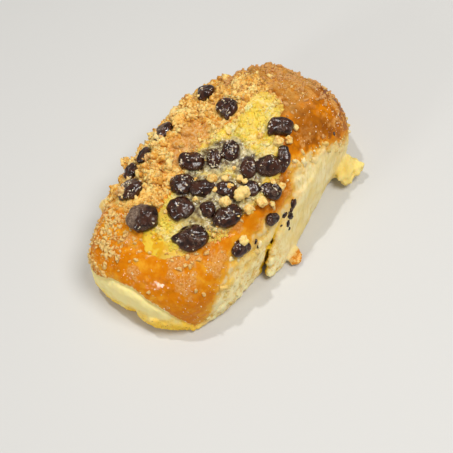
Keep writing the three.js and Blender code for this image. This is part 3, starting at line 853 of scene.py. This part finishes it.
def dough_finish():
    """Glossy amber crust, flaky tan patches on it, cream crumb where it tore, tan streusel bed, painted
    shade in hollows.
    """
    finish = Finish("baked dough", Roughness=0.5, Subsurface_Weight=0.4, Subsurface_Scale=1.0 * MM,
                    Subsurface_Radius=SOFT_LIGHT, Specular_IOR_Level=0.02, Coat_Roughness=0.07,
                    Coat_IOR=1.4)
    bake = finish.math("ADD", finish.value("bake"), finish.speckle(3.0, 3, 0.3, 0.7, -0.14, 0.14))
    light = finish.blend(finish.ramp(bake, 0.0, 0.36), "#e6a024", "#d67d00")
    brown = finish.blend(finish.ramp(bake, 0.36, 0.75), light, "#a35c0a")
    crust = finish.blend(finish.ramp(bake, 0.75, 1.1), brown, "#6b3410")
    flaky = finish.mottled(0.9, 3, 0.35, 0.65, "#c77f30", "#dfa864")
    # The bed is deep orange in the cracks between its clods and pale tan on their tops: painted shade in
    # the cracks, over the streusel's own golden tan.
    clod_shade = finish.math("ADD", finish.value("clods"), finish.speckle(0.8, 2, 0.25, 0.75))
    bed = finish.blend(finish.ramp(clod_shade, 0.1, 1.3), "#c87c14", "#f0c670")
    pressed = finish.mottled(1.3, 3, 0.35, 0.65, "#cb8c3a", "#ddb277")
    crust = finish.over(crust, ("patch", 0.75, flaky), ("bed", 1, bed), ("smooth patch", 1, pressed))

    crumb = finish.mottled(6, 2, 0.35, 0.7, "#f3e2ac", "#f0d68c")
    crumb = finish.blend(finish.ramp(finish.value("strands"), -0.9, 0.1), "#e6cf8c", crumb)
    # Crumb lumps are golden in their low parts and pale cream on their tops: painted shade between the
    # lumps, over the crumb's own cream.
    lumps = finish.math("ADD", finish.value("lumps"), finish.speckle(0.9, 2, 0.3, 0.7, -0.4, 0.4))
    lumps = finish.blend(finish.ramp(lumps, -0.5, 1.2), "#e2b044", "#ffefb8")
    rim = finish.mottled(0.8, 2, 0.6, 0.72, "#f8ca4c", "#a8702c")
    # The deeper gold in the gap behind the flap is painted shade.
    crumb = finish.over(
        crumb, ("grainy", 0.8, lumps), ("custard stain", 0.7, "#eebf3c"), ("toast", 1, "#eab447"),
        ("flake", 1, "#e6cc92"), ("crevice", 1, "#e2b620"), ("bright shred", 0.7, "#f3d774"),
        ("smear", 0.8, "#8a5a38"), ("foot", 1, "#fbe79e"), ("rim", 1, rim))

    golden = finish.mottled(1.5, 3, 0.4, 0.6, "#d98a2b", "#efc273")
    colour = finish.over(
        crumb, ("crust", 1, crust), ("golden flake", 1, golden), ("underside", 1, "#c98a35"))
    dull = finish.math("ADD", finish.value("patch"), finish.value("bed"))
    dull = finish.math("ADD", dull, finish.value("smooth patch"))
    gloss = finish.math("MULTIPLY", finish.value("crust"), finish.ramp(dull, 0.6, 0.0))
    wet = finish.math("ADD", 0.26, finish.math("MULTIPLY", finish.value("glaze"), 0.7))
    finish.use(Base_Color=colour, Coat_Weight=finish.math("MULTIPLY", gloss, wet),
               Roughness=finish.ramp(gloss, 0.0, 1.0, 0.85, 0.4))
    finish.bump(finish.speckle(0.45, 3), 0.1)
    return finish.material


def finished(piece, material, slot, *nodes):
    """Gives a piece its finish, and fixes it to the roll as the stand-in for CAD nodes."""
    piece.data.materials.clear()
    piece.data.materials.append(material)
    piece.data.shade_smooth()
    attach(piece, "root")
    if nodes:
        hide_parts(*nodes)


finished(dough, dough_finish(), "dough", "dough")

# ---- The custard ---------------------------------------------------------------------------------
# A cooked, curdled-looking egg custard spooned into the trough before baking. It set in soft curds,
# with a ragged edge that lies on the crust, and went grey and wet round the melted chips.

CUSTARD_GRID = (340, 130)
CUSTARD_CROWN = 1.25  # how far the custard's middle stands over the crust
CUSTARD_RAG = 1.3  # how far its edge spreads over the trough's
EGG_PATCH = (-49, 1.5, 7, 8)  # where it is brightest
CHIP_CLUSTER = (-10, -7, 23, 17)  # where melted chips wetted it

azimuth, polar, faces = ball_grid(*CUSTARD_GRID)
bend = np.interp(polar, [0, 0.87 * np.pi, np.pi], [0, np.pi / 2, np.pi])
upper = bend <= np.pi / 2
out = np.where(upper, np.sin(bend), np.sin(bend) ** 0.8)
rim_points = np.stack([np.cos(azimuth), np.sin(azimuth), 0 * azimuth], -1)
rim_points = rim_points * custard_radius(azimuth)[:, None]
ragged = CUSTARD_RAG * (0.95 + 0.5 * ripple(rim_points, 4, 50) + 0.4 * ripple(rim_points, 1.4, 51))
radius = (custard_radius(azimuth) + smooth(0.7, 1, out) * ragged) * out
x = CUSTARD_CENTRE[0] + radius * np.cos(azimuth)
y = CUSTARD_CENTRE[1] + radius * np.sin(azimuth)
plan = np.stack([x, y, 0 * x], -1)
surface = top_level(x, y)
egg = smooth(1.25, 0.7, oval_reach(x, y, EGG_PATCH) + 0.2 * ripple(plan, 3, 59))
curds = crumbly(plan, 3.6, 52, 3, 1.2)
small_curds = crumbly(plan, 1.7, 53, 1.4, 0.6)
rim_distance = chip_distance(plan)
meniscus = 0.4 * bell(np.maximum(rim_distance, 0), 0.8, 1)
thickness = CUSTARD_CROWN * smooth(1.02, 0.86, out) - 0.2 * smooth(0.95, 1, out)
bumps = (0.6 * curds + 0.4 * small_curds) * (1 - 0.5 * egg) + 0.7 * ripple(plan, 8, 55)
top = surface + thickness + (bumps - 0.7) * smooth(1, 0.93, out) + meniscus * smooth(1, 0.9, out)
bottom = surface - TOUCH_GAP - 0.3 - CUSTARD_DEPTH * np.abs(np.cos(bend)) ** 0.8
custard = new_piece("custard_filling", np.stack([x, y, np.where(upper, top, bottom)], -1), faces)
cluster = smooth(4.6, 1.2, rim_distance) * smooth(1.15, 0.85, oval_reach(x, y, CHIP_CLUSTER))
for name, values in {
    "wet": np.clip(cluster + 0.3 * ripple(plan, 4, 56), 0, 1) * smooth(0, 0.3, cluster),
    # Dark brown at the chips' rims: melted chocolate, and painted contact shadow where chip meets custard.
    "melt": bell(np.maximum(rim_distance, 0), 0.5, 1) * smooth(-0.2, 0.4, ripple(plan, 2.2, 57)) * cluster,
    "curds": curds * 0.5 + small_curds * 0.5,
    "edge": smooth(0.86, 1, out),
    "egg": egg,
}.items():
    keep_value(custard.data, name, values)


def custard_finish():
    """Bright egg yellow in the cracks, paler on the curds, with shade painted between the curds. Grey and
    wet round the melted chips, dark at their rims from melted chocolate and painted shadow.
    """
    finish = Finish("custard", Roughness=0.5, Subsurface_Weight=0.6, Subsurface_Scale=0.9 * MM,
                    Subsurface_Radius=SOFT_LIGHT, Specular_IOR_Level=0.2, Coat_Roughness=0.15)
    # Painted shade: deep yellow in the cracks between curds, pale on the curds and palest on the loose
    # curds that stand on top.
    tone = finish.math("ADD", finish.value("curds"), finish.speckle(0.9, 2, 0.25, 0.75, -0.3, 0.3))
    tone = finish.math("ADD", tone, finish.math("MULTIPLY", finish.value("tone"), 0.3))
    tone = finish.math("ADD", tone, finish.math("MULTIPLY", finish.value("loose"), 0.35))
    deep = finish.mottled(5, 2, 0.4, 0.6, "#dfb92c", "#dcb84e")
    pale = finish.mottled(6, 2, 0.4, 0.6, "#ebce54", "#ebd996")
    egg = finish.mottled(3, 2, 0.4, 0.6, "#dea50c", "#e9c63e")
    wet = finish.mottled(2.2, 2, 0.36, 0.62, "#6c5634", "#cabd90")
    colour = finish.over(
        finish.blend(finish.ramp(tone, 0.0, 1.1), deep, pale),
        ("edge", 1, "#e4bd50"), ("egg", 1, egg), ("wet", 1, wet), ("melt", 1, "#3f2c1e"))
    finish.use(Base_Color=colour, Coat_Weight=finish.ramp(finish.value("wet"), 0, 1, 0.15, 0.8))
    finish.bump(finish.speckle(0.7, 2), 0.08)
    return finish.material


custard_material = custard_finish()
finished(custard, custard_material, "custard", "custard")

# ---- Chocolate chips -----------------------------------------------------------------------------
# Large dark chocolate drops, pressed flat into custard and crust before baking. They melted and set
# again: soft pillows with dents, a seam or a drawn-out tip here and there, and a dusty bloom.

CHIP_GRID = (56, 34)
CHIP_THICKNESS = 0.62  # of the width
CHIP_LIFT = 1.5  # of the middle over the crust
TIP_REACH = 0.17  # of the length
CHIP_FULLNESS = 1.05  # they swelled a little as they melted
BLOOMED = {1: 0.8, 2: 0.5, 22: 0.6}  # chips that are grey on one side
CHIP_TIPS = {3: 125, 8: 214, 9: 170}  # chips with a drawn-out tip, and the way it points in degrees
SEAM_DEPTHS = (0.55, 0.0, 0.3)  # in turn


def chip_points(azimuth, polar, index, chip):
    """A soft pillow with dents, lying on the roll."""
    x, y, long, wide, turn = chip
    half = np.array([long / 2, wide / 2, wide * CHIP_THICKNESS / 2]) * CHIP_FULLNESS
    out = np.sin(polar) ** 0.85
    ball = np.stack([out * np.cos(azimuth), out * np.sin(azimuth), np.cos(polar)], -1)
    shape = ball * half
    dents = 0.6 * ripple(shape, 4.6, 40 + index) + 0.3 * ripple(shape, 2.2, 70 + index)
    seam_at = shape[:, 1] + 1.6 * ripple(shape, 7, 90 + index)
    seam = SEAM_DEPTHS[index % len(SEAM_DEPTHS)] * bell(seam_at, 0.55) * smooth(0.2, 0.7, ball[:, 2])
    if index in CHIP_TIPS:
        aside = (np.degrees(azimuth) + turn - CHIP_TIPS[index] + 180) % 360 - 180
        dents = dents + TIP_REACH * long * bell(aside, 17) * np.sin(polar) ** 4
    shape = shape + ball * (dents - seam)[:, None]
    return settle(turned(shape, turn), x, y, CHIP_LIFT)


def chocolate_finish():
    """Nearly black brown, satin where it melted smooth, with a thin grey-tan bloom in places."""
    finish = Finish("dark chocolate", Roughness=0.35, Specular_IOR_Level=0.5)
    colour = finish.mottled(2.2, 2, 0.35, 0.65, "#200c05", "#42200f")
    grey = finish.mottled(0.8, 2, 0.4, 0.6, "#5d4432", "#8d7762")
    bloom = finish.math("MULTIPLY", finish.speckle(3.5, 3, 0.48, 0.68), finish.speckle(0.5, 2, 0.35, 0.6))
    bloom = finish.math("ADD", finish.math("MULTIPLY", bloom, 0.4), finish.value("bloom"))
    colour = finish.blend(bloom, colour, grey)
    finish.use(Base_Color=colour, Roughness=finish.ramp(bloom, 0.0, 0.6, 0.2, 0.6))
    finish.bump(finish.speckle(1.1, 2), 0.07)
    return finish.material


chocolate = chocolate_finish()
azimuth, polar, faces = ball_grid(*CHIP_GRID)
for index, chip in enumerate(CHIPS, 1):
    points = chip_points(azimuth, polar, index, chip)
    piece = new_piece(f"chocolate_chip_{index:02d}", points, faces)
    grey_side = smooth(-1, 2.5, points[:, 1] - chip[1] + 1.5 * ripple(points, 3, 34))
    keep_value(piece.data, "bloom", BLOOMED.get(index, 0) * grey_side)
    finished(piece, chocolate, "chocolate", f"chip_{index:02d}")

# Flecks of chocolate that stayed on the torn flank: by the flap, by the smear, and under the far dome.
FLECKS = [
    (7.6, -34.2, 27.0, 4.8, 3.4), (5.4, -34.8, 25.6, 3.0, 1.8), (1.2, -33.5, 25.4, 3.0, 3.4),
    (3.0, -35.2, 23.4, 2.9, 3.6), (3.4, -34.5, 25.2, 1.2, 1.2), (0.1, -35.5, 21.2, 3.6, 2.8),
    (-0.1, -36.6, 18.3, 1.9, 1.5), (-3.1, -34.7, 22.9, 1.3, 1.1), (46.5, -29.3, 32.5, 2.2, 1.6),
    (-18.2, -32.0, 27.4, 2.6, 1.4), (-18.3, -33.0, 24.6, 1.7, 1.3),
]  # place, length and width
FLECK_THICKNESS = 1.0
FLECK_SLANT = Vector((0.75, 0, 0.66))  # the way they are long
speck, speck_faces = round_ball(2)
parts = []
for index, (x, y, z, long, wide) in enumerate(FLECKS):
    _, spot, outward, _ = dough.closest_point_on_mesh(Vector((x, y, z)) * MM)
    lengthwise = (FLECK_SLANT - FLECK_SLANT.dot(outward) * outward).normalized()
    turn = np.array([lengthwise, outward.cross(lengthwise), outward])
    shape = speck * (1 + 0.35 * ripple(speck, 0.8, 35 + index)[:, None])
    shape = shape * [long / 2, wide / 2, FLECK_THICKNESS / 2]
    parts.append((shape @ turn + np.array(spot) / MM, speck_faces))
flecks = new_piece("chocolate_flecks", *joined(parts))
keep_value(flecks.data, "bloom", 0)
finished(flecks, chocolate, "chocolate")

# ---- Crumb lumps ---------------------------------------------------------------------------------
# The largest lumps of streusel, rubbed from butter, flour and sugar, which rolled down and baked
# where they lie on custard and chips. Each is a knot of grains stuck together.

CRUMBS = [
    (-8.5, -18.5, 8.4, 3.6), (-10, -4, 5.8, 3.2), (-16, -14.5, 6.6, 3.4), (-12, -24, 5.2, 2.6),
    (-5.5, -26, 6, 2.8), (-22.5, -28, 5.4, 3.4), (6.5, -27.5, 5.2, 2.4), (21, -17.5, 6, 2.2),
]  # X and Y, width, lift of the middle over the surface
SMALL_CRUMBS = [
    (-6.5, -8, 4.2, 2.0), (-3, -12.5, 4.2, 2.2), (-2.5, -15.5, 3.2, 2.4), (-9, -12, 4, 2.8),
    (-16.5, -17.5, 3, 2.6), (-22, -3.5, 3.4, 1.6), (5, -25, 3.6, 2.0), (24, -20, 4.4, 1.6),
    (-26, 6, 2.6, 1.0),
    (-13.5, 3.5, 2.8, 1.2), (0, -8, 2.6, 1.4), (-14, -8, 3.2, 1.8), (-17, -22.5, 2.8, 2.6), (12, 4, 3, 1.2),
    (19, -9, 3.2, 1.0), (-33, 5.5, 2.8, 1.0), (-43, -4, 3, 1.0), (-45, 3, 2.6, 1.0), (31, -19, 3.4, 1.2),
    (17, -13, 2.6, 1.2), (-2, -29, 3.0, 1.4), (-30, -19, 2.6, 1.0),
]  # the same of the ones between them
LUMP_GRAINS = 15
LUMP_VOXEL = 0.3


def knot(across, seed):
    """A knot of small round grains about its own middle, to be fused."""
    random = seeded(seed)
    grains = []
    for _ in range(LUMP_GRAINS):
        way = Vector((next(random) - 0.5, next(random) - 0.5, next(random) - 0.5)).normalized()
        size = across * mix(0.15, 0.27, next(random))
        middle = np.array(way) * (across / 2 - size) * mix(0.6, 1.1, next(random))
        grains.append((knot_ball * size + middle * [1, 1, CLUMP_FLATNESS], knot_faces))
    core = knot_ball * across * 0.22 * [1, 1, CLUMP_FLATNESS]
    return joined([*grains, (core, knot_faces)])


def roughen(piece, seed):
    """Gives a fused knot its sandy grain."""
    points = read_points(piece.data)
    rough = 0.16 * ripple(points, 0.9, seed) + 0.09 * ripple(points, 0.42, seed + 1)
    write_points(piece.data, points + read_normals(piece.data) * rough[:, None])


def streusel_finish():
    """Sandy and dry: golden tan, paler on some grains, browned where the oven caught it."""
    finish = Finish("streusel", Roughness=0.8, Subsurface_Weight=0.45, Subsurface_Scale=0.6 * MM,
                    Subsurface_Radius=SOFT_LIGHT, Specular_IOR_Level=0.1)
    tone = finish.math("ADD", finish.value("tone"), finish.speckle(1.1, 3, 0.3, 0.7))
    tone = finish.math("ADD", tone, finish.speckle(9, 2, 0.35, 0.65, -0.35, 0.35))
    colour = finish.blend(finish.ramp(tone, 0.2, 1.7), "#d8983a", "#f3d68a")
    finish.use(Base_Color=finish.over(colour, ("browned", 1, "#c8935a"), ("dusty", 1, "#dccbb0")))
    finish.bump(finish.speckle(0.5, 3), 0.12)
    return finish.material


streusel = streusel_finish()
knot_ball, knot_faces = round_ball(2)
for index, (x, y, across, lift) in enumerate(CRUMBS, 1):
    points, faces = knot(across, 60 + index)
    piece = new_piece(f"crumb_lump_{index}", settle(points, x, y, lift), faces)
    fuse(piece, LUMP_VOXEL, 1)
    roughen(piece, index)
    keep_value(piece.data, "tone", 0.95 + 0.2 * math.sin(index * 2.3))
    keep_value(piece.data, "browned", 0)
    finished(piece, streusel, "streusel", f"crumb_{index}")

points, faces = joined([
    (settle(part, x, y, lift), part_faces)
    for x, y, across, lift in SMALL_CRUMBS
    for part, part_faces in [knot(across, int(1000 + 10 * x))]
])
small_crumbs = new_piece("small_crumbs", points, faces)
fuse(small_crumbs, LUMP_VOXEL, 1)
roughen(small_crumbs, 9)
keep_value(small_crumbs.data, "tone", 0.9 + 0.4 * ripple(read_points(small_crumbs.data), 6, 3))
keep_value(small_crumbs.data, "browned", 0)
finished(small_crumbs, streusel, "streusel")

# ---- Strewn grains -------------------------------------------------------------------------------
# Streusel packed on the +Y shoulder, browned on the far dome and strewn over the crust, bits of torn
# crumb, sugar, and loose curds. One scattering recipe lays them all, each kind with its own sizes.

GRAIN_KINDS = 5
GRAIN_SHAPE = (1.3, 0.9, 0.65)


def grain_collection(name, detail, roughness, seed):
    """A few crooked grains 1 mm across, to be scattered."""
    collection = bpy.data.collections.new(name)
    ball, faces = round_ball(detail)
    for kind in range(GRAIN_KINDS):
        swell = 0.8 + roughness * ripple(ball, 0.75, seed + kind)
        swell += 0.7 * roughness * pebbles(ball, 0.6, seed + kind)
        grain = new_piece(f"{name} {kind}", ball * 0.5 * swell[:, None] * GRAIN_SHAPE, faces)
        bpy.context.scene.collection.objects.unlink(grain)
        grain.data.shade_smooth()
        collection.objects.link(grain)
    return collection


def scatter_recipe():
    """Geometry nodes that strew grains over a surface, thicker where the cover value is higher."""
    tree = bpy.data.node_groups.new("strewn grains", "GeometryNodeTree")
    sockets = {"Surface": "Geometry", "Cover": "String", "Spacing": "Float", "Smallest": "Float",
               "Largest": "Float", "Lift": "Float", "Seed": "Int", "Grains": "Collection",
               "Finish": "Material"}
    for name, kind in sockets.items():
        tree.interface.new_socket(name, in_out="INPUT", socket_type="NodeSocket" + kind)
    tree.interface.new_socket("Grains", in_out="OUTPUT", socket_type="NodeSocketGeometry")
    full_turn = (6.28, 6.28, 6.28)
    given = add_node(tree, "NodeGroupInput")
    cover = add_node(tree, "GeometryNodeInputNamedAttribute", {"Name": given["Cover"]}, data_type="FLOAT")
    dots = add_node(tree, "GeometryNodeDistributePointsOnFaces", {
        "Mesh": given["Surface"], "Distance Min": given["Spacing"], "Density Max": 1e7,
        "Density Factor": cover["Attribute"], "Seed": given["Seed"]}, distribute_method="POISSON")
    grains = add_node(tree, "GeometryNodeCollectionInfo", {
        "Collection": given["Grains"], "Separate Children": True, "Reset Children": True})
    chance = add_node(tree, "FunctionNodeRandomValue", {2: 0.0, 3: 1.0, "Seed": given["Seed"]},
                      data_type="FLOAT")
    bias = add_node(tree, "ShaderNodeMath", {0: chance[1], 1: 2.0}, operation="POWER")
    size = add_node(tree, "ShaderNodeMapRange", {
        "Value": bias[0], "To Min": given["Smallest"], "To Max": given["Largest"]})
    spin = add_node(tree, "FunctionNodeRandomValue", {0: (0, 0, 0), 1: full_turn, "Seed": given["Seed"]},
                    data_type="FLOAT_VECTOR")
    turn = add_node(tree, "FunctionNodeEulerToRotation", {0: spin[0]})
    lift = add_node(tree, "ShaderNodeVectorMath", {0: dots["Normal"], 3: given["Lift"]}, operation="SCALE")
    placed = add_node(tree, "GeometryNodeSetPosition", {"Geometry": dots["Points"], "Offset": lift[0]})
    laid = add_node(tree, "GeometryNodeInstanceOnPoints", {
        "Points": placed[0], "Instance": grains[0], "Pick Instance": True, "Rotation": turn[0],
        "Scale": size[0]})
    tone = add_node(tree, "FunctionNodeRandomValue", {2: 0.0, 3: 1.0, "Seed": 3}, data_type="FLOAT")
    toned = add_node(tree, "GeometryNodeStoreNamedAttribute", {
        "Geometry": laid[0], "Name": "tone", "Value": tone[1]}, data_type="FLOAT", domain="INSTANCE")
    real = add_node(tree, "GeometryNodeRealizeInstances", {"Geometry": toned[0]})
    done = add_node(tree, "GeometryNodeSetMaterial", {"Geometry": real[0], "Material": given["Finish"]})
    add_node(tree, "NodeGroupOutput", {0: done[0]})
    return tree


recipe = scatter_recipe()
coarse = grain_collection("coarse grain", 2, 0.55, 100)
fine = grain_collection("fine grain", 1, 0.4, 110)


def strew(name, surface, cover, grains, finish, seed, spacing, sizes, lift=0.0):
    """Strews grains over a piece's surface and gives them back as one mesh piece."""
    piece = bpy.data.objects.new(name, surface.data)
    bpy.context.scene.collection.objects.link(piece)
    keep_value(surface.data, "cover", np.clip(cover, 0, 1))
    work = piece.modifiers.new("strewn", "NODES")
    work.node_group = recipe
    given = {item.name: item.identifier for item in recipe.interface.items_tree if item.in_out == "INPUT"}
    for key, value in {
        "Cover": "cover", "Spacing": spacing * MM, "Smallest": sizes[0], "Largest": sizes[1],
        "Lift": lift * MM, "Seed": seed, "Grains": grains, "Finish": finish,
    }.items():
        work[given[key]] = value
    keep_modified(piece)
    surface.data.attributes.remove(surface.data.attributes["cover"])
    return piece


def strew_streusel(name, surface, cover, grains, *layout, browned=0.0, dusty=0.0):
    """Strews grains of streusel. The layout is their seed, spacing, smallest and largest size, and lift."""
    piece = strew(name, surface, cover, grains, streusel, *layout)
    keep_value(piece.data, "browned", browned)
    keep_value(piece.data, "dusty", dusty)
    finished(piece, streusel, "streusel")


# Streusel on the bare crust, clear of custard, chips and the floor.
points = read_points(dough.data)
x, y, z = points.T
off_chips = smooth(0.18, 0.6, chip_distance(points))
sheltered = crust * off_chips * smooth(0.98, 1.06, custard_reach(x, y))
sheltered = sheltered * (read_normals(dough.data)[:, 2] > -0.2) * smooth(2, 4, z)
carpet_cover = carpet * (1 - 0.95 * baked_patch) * sheltered
lumpy = smooth(-0.35, 0.3, ripple(points, 5, 60))
sand_cover = carpet_cover * mix(0.15, 0.8, lumpy) + 0.12 * carpet * baked_patch * sheltered
grain_cover = carpet_cover * mix(0.15, 1, lumpy)
strew_streusel("streusel_grains", dough, grain_cover, coarse, 1, 1.5, (1.8, 3.8), 0.1)
strew_streusel("streusel_sand", dough, sand_cover, fine, 4, 0.75, (0.6, 1.6), -0.1)

thick = smooth(-0.5, 0.6, ripple(points, 6, 61, 2))
rim_band = np.maximum(smooth(46, 58, x), smooth(6, 16, y - 0.1 * x))
dome_cover = dome_crumbs * (1 - 0.9 * amber_patch) * mix(0.15, 1, thick) * mix(0.5, 1, rim_band)
dome_cover = np.maximum(dome_cover, 0.45 * smooth(50, 60, x) * smooth(-30, -14, y) * mix(0.2, 1, thick))
dome_cover = (dome_cover + 0.02 * smooth(20, 34, x)) * sheltered * smooth(10, 22, z)
strew_streusel("dome_crumbs", dough, dome_cover, coarse, 2, 1.05, (0.7, 2.7), -0.1, browned=0.9)

# Pale crumb, caught on the crust along the torn edge of the far dome and loose on the near flank.
crumb_bits = Finish("torn crumb", Roughness=0.8, Subsurface_Weight=0.4, Subsurface_Scale=0.8 * MM,
                    Subsurface_Radius=SOFT_LIGHT, Specular_IOR_Level=0.05)
crumb_bits.use(Base_Color=crumb_bits.blend(crumb_bits.value("tone"), "#e4bd62", "#f3e0aa"))
fringe = bell(above_edge + 1.0, 4.0) * smooth(8, 18, x) * smooth(66, 58, x)
fringe = fringe * mix(0.1, 0.9, smooth(-0.2, 0.4, ripple(points, 4, 66)))
flank = torn * grainy * smooth(3, 8, z) * smooth(-0.2, 0.5, ripple(points, 4, 67))
fringe = np.maximum(0.6 * fringe, 0.15 * flank) * flap_side * off_chips * smooth(3, 6, z)
piece = strew("torn_crumbs", dough, fringe, coarse, crumb_bits.material, 10, 1.3, (0.8, 3.6), -0.4)
finished(piece, crumb_bits.material, "dough")

# Crumbs on the near crust: a drift on its left, a few heaps, and single ones all over.
LEFT_DRIFT = (-55, 24, 12, 12)
NEAR_CRUMBS = [(-48, -12.5, 5.5), (-43, -17.5, 4), (-51.8, 12.6, 3.5), (-36, -23, 4)]  # X, Y and reach
drift = smooth(1.5, 0.6, oval_reach(x, y, LEFT_DRIFT)) * mix(0.3, 1, thick)
strewn = 0.8 * drift + 0.015 + 0.08 * smooth(-34, -50, x) * smooth(0, 20, y)
for crumbs_x, crumbs_y, reach in NEAR_CRUMBS:
    near_spot = bell(np.hypot(x - crumbs_x, y - crumbs_y), reach, 4)
    strewn = np.maximum(strewn, 0.7 * near_spot * smooth(0, 0.5, ripple(points, 2.6, 68)))
strewn = strewn * (1 - carpet) * sheltered
strew_streusel("strewn_crumbs", dough, strewn, coarse, 3, 0.85, (0.5, 2.8), -0.12, browned=0.35)

# Sugar that glints on the bare crust.
sugar = Finish("sugar", Roughness=0.15, Specular_IOR_Level=0.6, Subsurface_Weight=0.3,
               Subsurface_Scale=0.3 * MM, Base_Color=paint("#f3e2c0")).material
sugared = (0.045 + 0.2 * patches) * smooth(-20, -40, x) + 0.16 * smooth(22, 34, x) * mix(0.2, 1, thick)
sugared = sugared * (1 - carpet) * sheltered
piece = strew("sugar_grains", dough, sugared, fine, sugar, 12, 0.7, (0.2, 0.9))
finished(piece, sugar, "streusel")

# Curds that stand loose on the custard, and streusel along its edge.
EDGE_CRUMBS = [((-46.5, -11.5), 4.5), ((-27.5, -20), 5)]  # X and Y of two more heaps, and their reach
points = read_points(custard.data)
x, y, z = points.T
custard_top = smooth(0.1, 0.5, read_normals(custard.data)[:, 2]) * smooth(0.2, 0.8, chip_distance(points))
curd_cover = custard_top * smooth(-0.4, 0.3, ripple(points, 4, 64)) * (1 - smooth(-44, -47, x))
curd_cover = curd_cover * (1 - 0.75 * np.clip(cluster, 0, 1))
for name, cover, grains, *layout in (
    ("coarse_curds", curd_cover, coarse, 7, 1.5, (1.4, 3.3), -0.5),
    ("fine_curds", 0.35 * curd_cover, fine, 8, 0.8, (0.6, 1.6), -0.15),
):
    piece = strew(name, custard, cover, grains, custard_material, *layout)
    keep_value(piece.data, "loose", 1)
    finished(piece, custard_material, "custard")
edge_crumbs = smooth(0.9, 1.04, custard_reach(x, y) + 0.06 * ripple(points, 4, 65)) * smooth(-38, -20, x)
for spot, reach in EDGE_CRUMBS:
    heap = bell(np.hypot(*(points[:, :2] - spot).T), reach, 4)
    edge_crumbs = np.maximum(edge_crumbs, 0.6 * heap)
edge_cover = custard_top * (0.75 * edge_crumbs + 0.03)
strew_streusel("edge_crumbs", custard, edge_cover, fine, 9, 0.85, (0.6, 2.0), 0.2, browned=0.25)

# Crumbs and dust that stuck to the chips, most on those half buried along the left shoulder.
BURIED_CHIPS = (2, 22, 23, 24, 25)
CHIP_DUST = {1: 0.05, 2: 0.6, 3: 0.15, 5: 0.2, 6: 0.3, 7: 0.7, 8: 0.35, 12: 0.7, 13: 0.7, 14: 0.4,
             15: 0.3, 20: 0.2}  # how dusty these are
LEAST_DUST = 0.1
DUSTED_GRID = (40, 24)
azimuth, polar, faces = ball_grid(*DUSTED_GRID)
parts = [(chip_points(azimuth, polar, index, chip), faces) for index, chip in enumerate(CHIPS, 1)]
all_chips = new_piece("all chips", *joined(parts))
chip_of = np.repeat(np.arange(1, len(CHIPS) + 1), len(azimuth))
points = read_points(all_chips.data)
lies_up = smooth(0.1, 0.6, read_normals(all_chips.data)[:, 2])
dustiness = np.array([CHIP_DUST.get(index, LEAST_DUST) for index in range(len(CHIPS) + 1)])[chip_of]
dust_cover = lies_up * dustiness * mix(0.08, 1, smooth(0.1, 0.5, ripple(points, 3.2, 62)))
strew_streusel("chip_dust", all_chips, dust_cover, fine, 5, 0.5, (0.25, 1.3), dusty=1.0)
crumb_cover = lies_up * np.isin(chip_of, BURIED_CHIPS) * smooth(0.0, 0.3, ripple(points, 5, 63))
strew_streusel("chip_crumbs", all_chips, crumb_cover, coarse, 6, 1.5, (1.3, 3.4), -0.1, dusty=0.2)
bpy.data.objects.remove(all_chips)

for collection in (coarse, fine):
    for grain in list(collection.objects):
        bpy.data.objects.remove(grain)
    bpy.data.collections.remove(collection)
